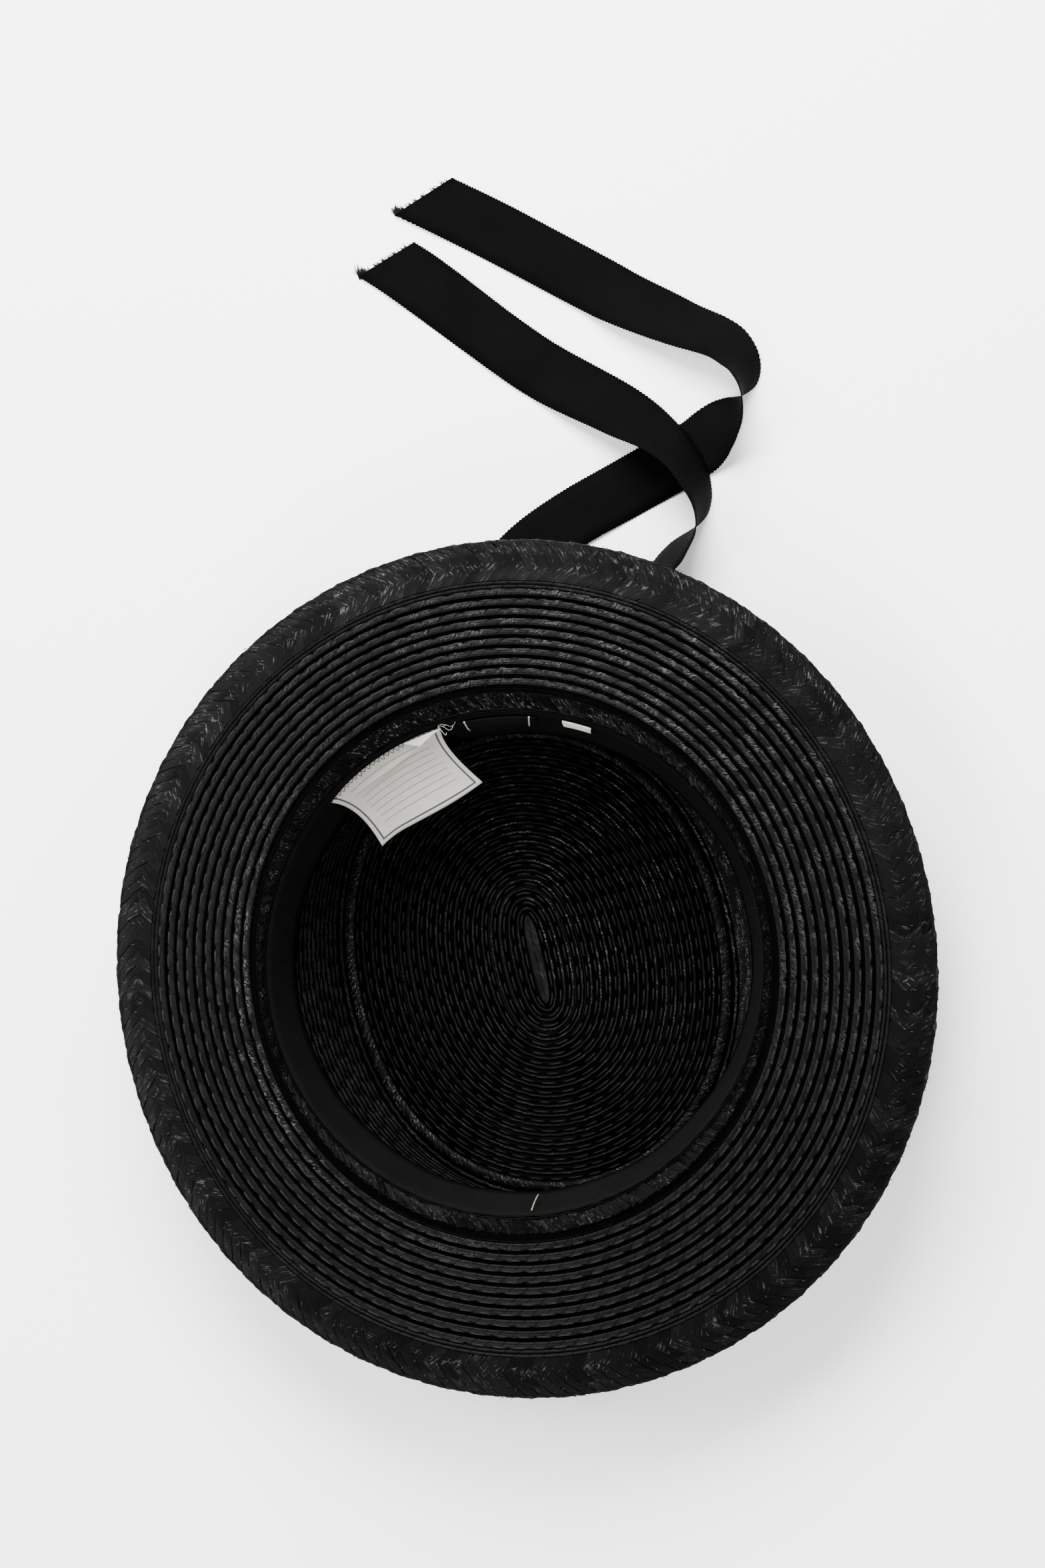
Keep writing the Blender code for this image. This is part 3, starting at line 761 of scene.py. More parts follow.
def plait_paint(name, tone, gloss):
    """Broad lacquered splints: a tone for each, turned-down sides painted near black as painted shade, and
    scratches along some of them painted bright as painted glints.
    """
    paint = lacquer(name, gloss)
    u, v = paint.metres()
    splint = (u / UV_LANE).math("FLOOR")
    chance = paint.chance(splint, 3.0)
    dark = paint.fade(paint.value("edge"), 0.35, 0.60)
    grain = paint.noise(paint.point(u * 2600.0, v * 160.0, splint), 1.0)
    streak = paint.noise(paint.point(u * 1700.0, v * 190.0, splint), 1.0, 3.0)
    patches = paint.fade(paint.noise(paint.place(), 150.0), 0.40, 0.60)
    worn_and_glinting = paint.fade(chance, 0.55, 0.95) * 0.30 + paint.value("flake_and_glint") * patches
    lit = worn_and_glinting * paint.fade(streak, 0.54, 0.68)
    facets, spark = paint.facets(u, v, lit * 1.3)
    lit = lit * paint.fade(spark, 0.2, 0.9, 0.3, 1.0)
    colour = paint.blend(chance, grey(tone * 0.8), grey(tone * 1.5))
    # Painted glints: scratches on the rubbed splints are painted bright bluish grey.
    colour = paint.blend(lit, colour, grey(0.090, 0.14))
    # Painted shade: the turned-down sides of the splints are painted near black.
    paint.set("Base Color", paint.blend(dark, colour, grey(0.0003)))
    paint.set("Roughness", chance * 0.12 + 0.18 + dark * 0.7)
    paint.bump(grain * (lit * (0.08 * MM) + 0.035 * MM), facets)
    return paint.material


def ribbed_paint(name, tone, depth):
    """Grosgrain: ribs straight across the ribbon with their crests painted lighter as a painted sheen, fine
    threads along it and a faint uneven tone.
    """
    paint = Paint(name, Specular_IOR_Level=0.008)
    u, v = paint.metres()
    rib = (u * (FULL_TURN / GROSGRAIN_PITCH)).math("SINE") * 0.5 + 0.5
    threads = paint.noise(paint.point(u * 700.0, v * 5200.0), 1.0)
    uneven = paint.noise(paint.place(), 60.0) * 0.8 + 0.5
    # Painted sheen: the rib crests are painted up to four and a half times lighter than the hollows.
    share = rib.math("POWER", 1.6) * uneven
    paint.set("Base Color", paint.blend(share, grey(tone), grey(tone * 4.5)))
    paint.set("Roughness", threads * 0.25 + 0.55)
    paint.bump(rib * depth + threads * (0.04 * MM))
    return paint.material


def thread_paint(name, tone, roughness):
    """Thread: a slightly uneven tone and gloss, and a fine fuzz."""
    paint = Paint(name, Coat_Weight=0.03, Coat_Roughness=0.2, Specular_IOR_Level=0.1)
    uneven = paint.noise(paint.place(), 900.0)
    paint.set("Base Color", paint.blend(uneven, shade(tone, 0.55), shade(tone)))
    paint.set("Roughness", uneven * 0.2 + roughness)
    paint.bump(paint.noise(paint.place(), 4200.0) * (0.08 * MM))
    return paint.material


def cotton_paint(name, tone, lined=False):
    """Woven cotton: a fine crossed weave, and for the label a plain frame and ruled lines."""
    paint = Paint(name, Roughness=0.85, Specular_IOR_Level=0.25, Sheen_Weight=0.1)
    u, v = paint.metres()
    turns = FULL_TURN / WEAVE_PITCH
    weave = (u * turns).math("SINE") * (v * turns).math("SINE")
    uneven = paint.noise(paint.place(), 260.0)
    colour = paint.blend(uneven, shade(tone, 0.82), shade(tone))
    if lined:
        colour = paint.blend(label_lines(u, v), colour, (0.035, 0.033, 0.04, 1.0))
    paint.set("Base Color", colour)
    paint.bump(weave * (0.03 * MM) + uneven * (0.10 * MM))
    return paint.material


def label_lines(u, v):
    """1 on the label's dark frame, and less on its thin ruled lines."""
    width, depth = LABEL_SIZE
    half = LABEL_LINE / 2
    sides = u.near(LABEL_INSET, half) | u.near(width - LABEL_INSET, half)
    sides = sides * v.math("LESS_THAN", depth - LABEL_INSET + half)
    foot = v.near(depth - LABEL_INSET, half) * u.near(width / 2, width / 2 - LABEL_INSET + half)
    ruled = (v % RULE_PITCH).near(1.6 * MM, 0.13 * MM)
    ruled = ruled * u.near(width / 2, width / 2 - 6 * MM) * v.near(16 * MM, 12.5 * MM)
    return sides | foot | ruled * 0.85


def woven_tag_paint(name, tone, pale):
    """Black woven tag with a pale dashed line across each end."""
    paint = Paint(name, Specular_IOR_Level=0.04)
    u, v = paint.metres()
    ends = u.near(NAME_TAG_INSET, 0.28 * MM) | u.near(NAME_TAG_SIZE[0] - NAME_TAG_INSET, 0.28 * MM)
    dashes = (v % (1.5 * MM)).math("LESS_THAN", 0.9 * MM)
    weave = ((u + v) * (FULL_TURN / (0.5 * MM))).math("SINE")
    paint.set("Base Color", paint.blend(ends * dashes, shade(tone), shade(pale)))
    paint.set("Roughness", weave * 0.08 + 0.6)
    paint.bump(weave * (0.03 * MM))
    return paint.material


# Brim


def brim_wear_and_glints(share):
    """How much a brim row's lacquer is flaked and painted with bright glints round the hat: at the left near
    the crown, and behind.
    """

    def wear_and_glints(angles):
        left = near_angle(angles, 190.0, 75.0) * np.clip(0.7 - 2.0 * share, 0.0, 0.5)
        behind = near_angle(angles, 45.0, 85.0) * 0.45
        return np.clip(left + behind, 0.0, 1.0)

    return wear_and_glints


def make_brim(straw, thread, rng):
    """The rows of braid, the thin edge lines and the strip under the groove round the crown."""
    ends = row_ends(BRIM_ROWS, EDGE_LINES)
    seams = []
    for index, (start, end) in enumerate(row_rings(GROOVE, ROWS_END, ends)):
        table = BRIM_ROW if index < BRIM_ROWS else EDGE_LINE
        name = f"brim_row_{index + 1:02d}"
        row = braid_row(name, start, end, table, BRIM_STEPS, rng, brim_wear_and_glints(ends[index]))
        dress(row, straw, () if index else ("brim",))
        if index < BRIM_ROWS:
            seams.append(seam_rings(start, end, BRIM_SEAM, 0.22 * MM * UP))
    floor = braid_row("groove_floor", CROWN_LIP, GROOVE_FLOOR, CROWN_ROW, CROWN_STEPS, rng, brim_wear_and_glints(1.0))
    dress(floor, straw)
    dress(row_stitches("brim_stitches", seams, rng), thread)


# Broad plait


def edge_wear_and_glints(angles, share):
    """How rubbed the broad plait is and where it carries painted glints: along its outer part behind, and
    where two bands meet.
    """
    outside = near_angle(angles, 55.0, 85.0) * near_share(share, 0.80, 0.22)
    vertex = near_share(share, 0.30, 0.18)
    calm = (1.0 - 0.7 * near_angle(angles, 20.0, 70.0)) * (1.0 - 0.8 * near_angle(angles, 170.0, 50.0))
    return 1.3 * outside + 0.8 * vertex * calm


def make_edge_plait(straw, plait, thread, rng):
    """The broad turned-down plait: three bands of slanted splints, its rim, its threads and its cords."""
    surface = plait_surface(PLAIT_START, BRIM_END, EDGE_BULGE)
    middle = (PLAIT_START + BRIM_END) / 2
    width = slope_length(PLAIT_START, BRIM_END)
    band = make_band("edge_plait_base", surface, middle, 240, width, -0.75 * MM, 1.2 * MM)
    dress(band, straw, ("brim_edge_braid",))
    for name, table in EDGE_SPLINTS.items():
        splints = make_splints(f"edge_plait_{name}", surface, middle, EDGE_PITCH, table, 1.5, edge_wear_and_glints, rng)
        dress(splints, plait)
    dress(make_splinters("edge_plait_splinters", surface, (0.05, 0.85), 1.6 * MM, 420, rng), straw)
    make_plait_rim(surface, middle, straw, rng)
    make_plait_frays(surface, middle, straw, rng)
    make_plait_stitches(surface, middle, thread, rng)
    make_plait_seams(surface, straw, rng)
    make_plait_cords(surface, straw, rng)


def make_plait_rim(surface, middle, straw, rng):
    """The rough rolled rim of the plait."""
    count = 800
    sides = 7
    angles = turns(count)
    radius = RIM_ROLL * (1.0 + wobble(angles, rng, (61, 97, 149, 211, 307), 0.30))[:, None]
    turn = turns(sides)
    share = RIM_SHARE + np.cos(turn) * radius / PLAIT_WIDTH
    high = -0.3 * MM - np.sin(turn) * radius
    points = surface(angles[:, None], share, high)
    widths = np.arange(sides + 1) * 0.6 * MM
    # Flaked lacquer with painted glints, all round the rim.
    values = {"flake_and_glint": np.full(share.shape, 0.8)}
    roll = make_grid("edge_plait_rim", points, ring_metres(middle, count), widths, (True, True), values)
    dress(roll, straw)


def make_plait_frays(surface, middle, straw, rng):
    """Small frayed ends that stand out of the plait's rim."""
    count = 120
    out = np.linspace(0.0, 1.0, 3)
    where = rng.uniform(0.0, ring_length(middle), count)[:, None]
    size = rng.uniform(0.4, 1.3, count)[:, None] * MM
    lean = rng.uniform(-1.6, 1.6, count)[:, None] * MM
    high = rng.uniform(-0.2, 0.8, count)[:, None] * MM * out
    share = RIM_SHARE + 0.012 + out * size / PLAIT_WIDTH
    paths = surface(angles_at(middle, where + lean * out), share, high)
    radii = np.array((0.20, 0.14, 0.04)) * MM
    dress(make_tubes("edge_plait_frays", paths, radii, 3), straw)


def make_plait_stitches(surface, middle, thread, rng):
    """Small stitches that sew the plait down, in two lines."""
    length = ring_length(middle)
    out = np.linspace(-0.5, 0.5, 5)
    high = np.array((-0.5, 0.45, 0.62, 0.45, -0.5)) * MM
    paths = []
    for share, pitch in ((0.45, 8.0 * MM), (0.75, 8.6 * MM)):
        count = round(length / pitch)
        where = (np.arange(count) + rng.uniform(-0.12, 0.12, count)) * length / count
        reach = rng.uniform(0.9, 1.7, count)[:, None] * MM
        lean = rng.uniform(-0.6, 0.6, count)[:, None] * MM
        shares = share + out * reach / PLAIT_WIDTH
        paths.append(surface(angles_at(middle, where[:, None] + lean * out), shares, high))
    stitches = make_tubes("edge_plait_stitches", np.concatenate(paths), 0.16 * MM)
    dress(stitches, thread)


def make_plait_seams(surface, straw, rng):
    """Two seams that show on the right half of the plait, sunk into it at both ends."""
    degrees = np.linspace(-60.0, 76.0, 700)
    angles = np.radians(degrees)
    ends = np.clip((68.0 - np.abs(degrees - 8.0)) / 20.0, 0.0, 1.0)
    for index, share in enumerate((0.35, 0.66)):
        shares = share + wobble(angles, rng, (19, 31, 43), 0.005)
        high = mix(-0.8, 0.20, ends) * MM + wobble(angles, rng, (90, 131, 170), 0.06 * MM)
        radius = 0.10 * MM * (1.0 + wobble(angles, rng, (120, 171, 233), 0.30))
        seam = make_tubes(f"edge_plait_seam_{index + 1}", surface(angles, shares, high)[None], radius)
        dress(seam, straw)


def make_plait_cords(surface, straw, rng):
    """The cords laid along the plait's rim, each lower than the one before."""
    angles = np.linspace(0.0, FULL_TURN, 1000)
    for index, share in enumerate((0.925, 0.955, 0.985, 1.01)):
        shares = share + wobble(angles, rng, (30, 47, 61, 83), 0.010)
        high = (-0.10 - 0.25 * index) * MM + wobble(angles, rng, (50, 77, 120, 171), 0.12 * MM)
        radius = 0.26 * MM * (1.0 + wobble(angles, rng, (60, 111, 153), 0.25))
        cord = make_tubes(f"edge_plait_cord_{index + 1}", surface(angles, shares, high)[None], radius, 5)
        dress(cord, straw)


# Rim of the mouth


def rim_wear_and_glints(angles, _):
    """How rubbed the narrow plait is and where it carries painted glints: more of both behind."""
    return 0.12 + 0.4 * near_angle(angles, 75.0, 60.0)


def make_rim_plait(straw, plait, rng):
    """The narrow plait round the mouth, with splinters out of it and out of the first brim row."""
    surface = plait_surface(MOUTH, RIM_OUTER, 0.3 * MM)
    middle = (MOUTH + RIM_OUTER) / 2
    band = make_band("rim_plait_base", surface, middle, 200, 4 * MM, -0.35 * MM, 0.7 * MM)
    dress(band, straw, ("rim_braid",))
    splints = make_splints("rim_plait_splints", surface, middle, RIM_PITCH, RIM_SPLINT, 5.0, rim_wear_and_glints, rng)
    dress(splints, plait)
    dress(make_splinters("rim_splinters", surface, (0.15, 1.1), 2.6 * MM, 700, rng), straw)
    first_row = plait_surface(GROOVE, mix(GROOVE, ROWS_END, 1.0 / BRIM_ROWS), 0.0)
    dress(make_splinters("groove_splinters", first_row, (0.2, 1.6), 2.6 * MM, 600, rng), straw)
    make_rim_cords(surface, plait, rng)


def make_rim_cords(surface, plait, rng):
    """Two thin cords along the inner edge of the narrow plait."""
    angles = np.linspace(0.0, FULL_TURN, 521)
    for index, share in enumerate((0.02, 0.17)):
        shares = share + wobble(angles, rng, (40, 61, 83), 0.02)
        high = 0.35 * MM + wobble(angles, rng, (33, 57, 91), 0.06 * MM)
        cord = make_tubes(f"rim_cord_{index + 1}", surface(angles, shares, high)[None], 0.38 * MM, 6)
        dress(cord, plait)


# Crown


def crown_wear_and_glints(angles):
    """How much the crown's rows are flaked and painted with bright glints: more of both behind."""
    return 0.10 + 0.4 * near_angle(angles, 45.0, 80.0)


def rib_wear_and_glints(angles, _):
    """Where the rib at the tip's corner is rubbed and painted with bright glints: most in front."""
    return 0.7 + 1.6 * near_angle(angles, 225.0, 75.0)


def lay_crown_rows(name, first, last, rows, rise, straw, rng, replaced=()):
    """Equal rows of braid between two rings, and the rings that their threads follow."""
    seams = []
    for index, (start, end) in enumerate(row_rings(first, last, row_ends(rows))):
        row = braid_row(f"{name}_row_{index + 1:02d}", start, end, CROWN_ROW, CROWN_STEPS, rng, crown_wear_and_glints)
        dress(row, straw, () if index else replaced)
        seams.append(seam_rings(start, end, CROWN_SEAM, rise))
    return seams


def make_crown(inner, straw, thread, rng):
    """The rows of the tip and its corner, the rows of the wall and the threads of both."""
    tip_rise = -0.25 * MM * UP
    tip_seams = lay_crown_rows("tip", TIP_HEART, TIP_END, TIP_ROWS, tip_rise, inner, rng, ("crown",))
    corner = braid_row("tip_corner_row", TIP_END, CORNER_END, CROWN_ROW, CROWN_STEPS, rng, crown_wear_and_glints)
    dress(corner, inner)
    wall_rise = -0.25 * MM * slope_normal(WALL_FOOT, WALL_TOP)
    wall_seams = lay_crown_rows("wall", WALL_FOOT, WALL_TOP, WALL_ROWS, wall_rise, straw, rng)
    dress(row_stitches("tip_stitches", tip_seams, rng), thread)
    dress(row_stitches("wall_stitches", wall_seams[:-UNSEWN_WALL_ROWS], rng), thread)


def make_heart(straw, rng):
    """The folded start of the braid in the middle of the tip."""
    count = 60
    angles = turns(count)
    shares = np.array((0.02, 0.35, 0.7, 1.1, 1.1, 0.02))
    heights = np.array((0.3, 0.5, 0.45, 0.1, -1.4, -1.4)) * MM
    rings = np.stack([TIP_HEART * (share, 0.9 + 0.1 * share, 1.0, 1.0) for share in shares])
    points = oval(angles[:, None], rings + heights[:, None] * UP)
    points[..., 2] += wobble(angles, rng, (5, 9), 0.1 * MM)[:, None] * (shares < 1.0)
    metres = np.arange(count + 1) * 1.2 * MM
    widths = np.arange(shares.size + 1) * MM
    # Flaked lacquer with painted glints over all of the heart.
    values = {"flake_and_glint": np.full(points.shape[:2], 0.4)}
    dress(make_grid("tip_heart", points, metres, widths, (True, True), values), straw)


def ridged_rings(first, last, rows, step):
    """Rings between two others that step up and down once for each row."""
    ridge = np.array((0.0, 0.10, 0.55, 0.90))
    heights = np.array((-0.45, 0.05, 0.30, 0.25)) * MM
    shares = (np.arange(rows)[:, None] + ridge).reshape(-1, 1) / rows
    return mix(first, last, shares) + np.tile(heights, rows)[:, None] * step


def make_crown_skin(straw):
    """The outside of the crown: one closed skin, ridged for each row of the tip and the wall, its inner side
    painted near black as painted shade.
    """
    tip = ridged_rings(SKIN_HEART, SKIN_FOOT, TIP_ROWS, -UP) + 0.3 * MM * UP
    wall = ridged_rings(SKIN_FOOT, SKIN_TOP, WALL_ROWS, OUT)
    inner_wall = mix(SKIN_FOOT, SKIN_TOP, np.linspace(1.0, 0.0, 9)[:, None]) - 0.9 * MM * (OUT - UP)
    inner_tip = mix(SKIN_HEART, SKIN_FOOT, np.array((0.9, 0.4, 0.0))[:, None]) + 0.4 * MM * UP
    rings = np.concatenate([tip, wall, inner_wall, inner_tip])
    count = round(ring_length(SKIN_FOOT) / ROW_SPLINT) * 2
    points = oval(even_angles(SKIN_FOOT, count)[:, None], rings)
    metres = ring_metres(SKIN_FOOT, count)
    widths = np.arange(len(rings) + 1) * MM
    # The inner side is marked so that the paint turns it near black: painted shade.
    inside = np.where(np.arange(len(rings)) < len(tip) + len(wall), 0.0, 1.0)
    values = {"flake_and_glint": np.zeros(points.shape[:2]), "edge": np.broadcast_to(inside, points.shape[:2])}
    dress(make_grid("crown_skin", points, metres, widths, (True, True), values), straw)


def make_corner_rib(straw, plait, rng):
    """The ribbed fold where the tip meets the wall."""
    surface = plait_surface(RIB_START, RIB_END, 0.9 * MM)
    band = make_band("corner_rib_base", surface, RIB_LINE, 160, 4 * MM, -0.5 * MM, 0.7 * MM)
    dress(band, straw)
    splints = make_splints("corner_rib_splints", surface, RIB_LINE, RIB_PITCH, RIB_SPLINT, 4.0, rib_wear_and_glints, rng)
    dress(splints, plait)


# Ribbons


def mesh_edges(node):
    """The places of a CAD node's mesh, each once, and the edges between them."""
    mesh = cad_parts[node].data
    keys = [tuple(round(value, 6) for value in vertex.co) for vertex in mesh.vertices]
    places = {key: index for index, key in enumerate(dict.fromkeys(keys))}
    ends = [[places[keys[vertex]] for vertex in edge.vertices] for edge in mesh.edges]
    edges = {tuple(sorted(pair)) for pair in ends}
    return np.array(list(places)), [edge for edge in edges if edge[0] != edge[1]]


def cad_ribbon_sides(node):
    """The middles of a CAD ribbon's two long edges, in order from its root.

    At each station of the ribbon an edge as short as its thickness stands on either side.
    """
    spots, edges = mesh_edges(node)
    joined = set(edges) | {(two, one) for one, two in edges}
    size = {edge: np.linalg.norm(spots[edge[0]] - spots[edge[1]]) for edge in edges}
    short = [edge for edge in edges if abs(size[edge] - CAD_RIBBON_THICK) < 0.03 * MM]
    middle = {edge: spots[list(edge)].mean(axis=0) for edge in short}
    along, across = {edge: [] for edge in short}, {}
    for edge, other in itertools.permutations(short, 2):
        if not any({(edge[0], one), (edge[1], two)} <= joined for one, two in (other, other[::-1])):
            continue
        if np.linalg.norm(middle[edge] - middle[other]) > 0.8 * RIBBON_WIDTH:
            across[edge] = other
        else:
            along[edge].append(other)
    root = max((edge for edge in short if len(along[edge]) == 1), key=lambda edge: middle[edge][2])
    line, onward = [root], along[root]
    while onward:
        line.append(onward[0])
        onward = [edge for edge in along[line[-1]] if edge != line[-2]]
    pairs = [(middle[edge], middle[across[edge]]) for edge in line if edge in across]
    return np.array(pairs).swapaxes(0, 1)


def ribbon_edges(node):
    """Smooth lines along the two long edges of a CAD ribbon, with six points for each scallop."""
    one, two = cad_ribbon_sides(node)
    length = run_lengths((one + two) / 2)[-1]
    positions = np.linspace(0.0, len(one) - 1, round(length / SCALLOP_PITCH * 6))
    return smooth_curve(one, positions), smooth_curve(two, positions)


def make_tail(name, node, slant, cloth, thread, rng):
    """A ribbon tail along its CAD node, with scalloped edges and a frayed end, slant longer on one side."""
    first, second = ribbon_edges(node)
    metres = run_lengths((first + second) / 2)
    way = unit(second - first)
    ahead = unit(np.gradient((first + second) / 2, axis=0))
    normal = unit(np.cross(ahead, way))[:, None]
    scallop = SCALLOP_DEPTH * (np.cos(FULL_TURN * metres / SCALLOP_PITCH) - 1.0)[:, None] / 2
    first, second = first - way * scallop, second + way * scallop
    across = np.linspace(0.0, 1.0, 6)[:, None]
    ripple = (np.sin(metres * 95.0 + 1.0) + np.sin(metres * 151.0))[:, None, None]
    sheet = mix(first[:, None], second[:, None], across)
    sheet = sheet + normal * ripple * (across - 0.5) * 0.5 * MM
    near_end = np.clip(1.0 - (metres[-1] - metres) / (50 * MM), 0.0, 1.0)[:, None, None]
    at_last = first[-1, 1] > second[-1, 1]
    longer = across if at_last else 1.0 - across
    sheet = sheet + ahead[-1] * near_end * (longer - 0.5) * slant
    half = normal * RIBBON_THICK / 2
    points = np.concatenate([sheet + half, (sheet - half)[:, ::-1]], axis=1)
    points[..., 2] = np.maximum(points[..., 2], 0.15 * MM)
    widths = np.append(there_and_back(across[:, 0]), 0.0) * RIBBON_WIDTH
    tail = make_grid(name, points, metres, widths, (False, True))
    dress(tail, cloth, (node,))
    fringe = make_fringe(name + "_frays", sheet[-1], ahead[-1], way[-1], at_last, rng)
    dress(fringe, thread)


def make_fringe(name, cut, ahead, way, at_last, rng):
    """Loose cords along a ribbon's cut end, with a bunch of them at its longer corner."""
    count = 64
    spread = 36
    everywhere, corner = rng.uniform(0.0, 1.0, count), rng.uniform(0.86, 1.0, count)
    share = np.where(np.arange(count) < spread, everywhere, corner)
    bunch = np.clip((share - 0.80) / 0.2, 0.0, 1.0)[:, None]
    start = mix(cut[0], cut[-1], (share if at_last else 1.0 - share)[:, None])
    side = way if at_last else -way
    reach = rng.uniform(0.7, 1.8, count)[:, None] * MM * (1.0 + 1.3 * bunch)
    aim = ahead + side * (rng.uniform(-0.5, 0.3, count)[:, None] - 0.5 * bunch)
    steps = np.linspace(-0.3, 1.0, 6)[:, None]
    out = np.clip(steps, 0.0, 1.0)
    curl = rng.uniform(-0.9, 0.9, count)[:, None, None] * side * MM * out**2
    paths = start[:, None] + (aim * reach)[:, None] * steps + curl * (1.0 + bunch[:, None])
    paths[..., 2] = 0.35 * MM + rng.uniform(0.0, 1.2, count)[:, None] * MM * out[:, 0]
    return make_tubes(name, paths, np.array((0.20, 0.19, 0.18, 0.16, 0.12, 0.06)) * MM)


def ring_sheet(name, top, bottom, thick, stations, width, sag, rng):
    """A closed band of ribbed cloth round the hat between two rings, drifting more towards its foot."""
    angles = even_angles(top, stations)
    share = there_and_back(np.linspace(0.0, 1.0, 6))
    out = thick * (np.arange(share.size) >= share.size // 2)
    drift = wobble(angles, rng, (3, 5, 8, 13), sag)[:, None] * share * (1.0 - 0.3 * share)
    rings = mix(top, bottom, share[:, None]) + (out - drift)[..., None] * OUT
    points = oval(angles[:, None], rings)[:, ::-1]
    widths = np.append(share, 0.0)[::-1] * width
    return make_grid(name, points, ring_metres(top, stations), widths, (True, True))


def make_sweatband(lightened_lining, rng):
    """The sweatband inside the mouth."""
    low, high = cad_box("sweatband")
    head, foot = SWEATBAND_HEAD + high[2] * UP, SWEATBAND_FOOT + low[2] * UP
    length = ring_length(head)
    band = ring_sheet("sweatband_cloth", head, foot, 0.45 * MM, 720, 25 * MM, 0.35 * MM, rng)
    dress(band, lightened_lining, ("sweatband",))


def make_hatband(cloth, rng):
    """The hatband round the outside of the crown."""
    low, high = cad_box("hatband")
    over_top = SKIN_TOP + 0.7 * MM * OUT
    top = mix(SKIN_FOOT, over_top, high[2] / SKIN_TOP[2])
    bottom = mix(SKIN_FOOT, over_top, low[2] / SKIN_TOP[2]) + 0.4 * MM * OUT
    length = ring_length(top)
    band = ring_sheet("hatband_cloth", top, bottom, 0.5 * MM, 480, RIBBON_WIDTH, 0.1 * MM, rng)
    dress(band, cloth, ("hatband",))


def squared(values):
    """A sine or cosine drawn out towards the corners of a square."""
    return np.sign(values) * np.abs(values) ** 0.45


def make_knot(cloth):
    """The wrap of ribbon that holds the tails: a soft block with a shallow fold down its face."""
    low, high = cad_box("ribbon_knot")
    half_height = (high - low)[2] / 2
    count = 48
    turn = turns(count)[:, None]
    level = np.concatenate([[-1.0], np.linspace(-1.0, 1.0, 17), [1.0]])
    shrink = np.concatenate([[0.05], 1.0 - 0.16 * np.abs(level[1:-1]) ** 5, [0.05]])
    fold = 1.0 - 0.16 * np.exp(-((np.cos(turn) * 3.0) ** 2))
    x = squared(np.cos(turn)) * shrink * KNOT_HALF_WIDTH
    y = squared(np.sin(turn)) * shrink * fold * KNOT_HALF_DEPTH
    points = (low + high) / 2 + KNOT_ACROSS * x[..., None] + KNOT_OUTWARD * y[..., None]
    points[..., 2] += level * half_height * 0.99
    metres = np.arange(count + 1) * 0.95 * MM
    knot = make_grid("knot_wrap", points, metres, level * half_height + 20 * MM)
    dress(knot, cloth, ("ribbon_knot",))


# Labels


def patch(name, top, bottom, rows, thick, bulge, size, pinch=0.0):
    """A thin cloth patch between two lines of points.

    bulge(u, v) says in metres how far it stands out, and pinch how much narrower it is at half depth.
    """
    u = np.linspace(0.0, 1.0, len(top))[:, None]
    v = np.linspace(0.0, 1.0, rows)[None, :]
    place = 0.5 + (u - 0.5) * (1.0 - pinch * np.sin(math.pi * v**0.8))
    high = np.stack([np.interp(place, u[:, 0], axis) for axis in top.T], -1)
    low = np.stack([np.interp(place, u[:, 0], axis) for axis in bottom.T], -1)
    sheet = mix(high, low, v[..., None])
    normal = unit(np.cross(np.gradient(sheet, axis=1), np.gradient(sheet, axis=0)))
    sheet = sheet + normal * bulge(u, v)[..., None]
    half = normal * thick / 2
    points = np.concatenate([sheet + half, (sheet - half)[:, ::-1]], axis=1)
    widths = np.append(there_and_back(v[0]), 0.0) * size[1]
    return make_grid(name, points, u[:, 0] * size[0], widths, (False, True))


def arch(height):
    """A bulge that is height at half depth and nothing at the seam and the foot."""
    return lambda u, v: np.sin(math.pi * v) * height


def on_wall(angles, radius, height):
    """Points on the inner wall at angles in degrees."""
    turn = np.radians(angles)
    return np.stack([np.cos(turn) * radius, np.sin(turn) * radius, height + 0.0 * turn], -1)


def label_bulge(u, v):
    """The care label's sag, its curled corner, its slow wave and the crease below its seam."""
    sag = -np.sin(math.pi * v) * 2.4 * MM * (0.6 + 0.4 * np.sin(math.pi * u))
    curl = 2.6 * MM * np.clip(1.0 - u * 4.0, 0.0, 1.0) ** 2 * v**2
    crease = np.exp(-(((v - 0.20 - 0.04 * np.sin(5.0 * u)) / 0.035) ** 2)) * np.sin(math.pi * u) ** 2
    return sag + curl + np.sin(7.0 * u + 2.0 * v) * 0.35 * MM * v + crease * 0.9 * MM


def make_care_label(cotton, plain, black, ivory, rng):
    """The white label sewn to the sweatband by one edge, hanging into the crown."""
    u = np.linspace(0.0, 1.0, 49)
    seam = on_wall(mix(126.8, 94.6, u), mix(0.0903, 0.0898, u), mix(0.0605, 0.0630, u))
    foot = mix(*LABEL_FOOT, u[:, None])
    foot[:, 1] -= np.sin(math.pi * u) * 1.2 * MM
    label = patch("care_label_cloth", seam, foot, 41, 0.35 * MM, label_bulge, LABEL_SIZE, 0.11)
    dress(label, cotton, ("care_label",))
    fold = dress(make_label_fold(seam, foot), plain)
    stitches = dress(make_label_stitches(seam, foot, rng), black)
    frays = dress(make_label_frays(seam[-2]), ivory)


def make_label_fold(seam, foot):
    """The corner of the label's top edge that is folded over."""
    share = np.linspace(0.0, 1.0, 9)[:, None]
    above = np.array((0.0, -0.4, 1.2)) * MM
    top = mix(seam[34], seam[-1], share) + above
    bottom = mix(seam[34], mix(seam[38], foot[38], 0.13), share) + above
    size = (8 * MM, 7 * MM)
    return patch("care_label_fold", top, bottom, 9, 0.3 * MM, lambda u, v: 0.4 * MM * v * u, size)


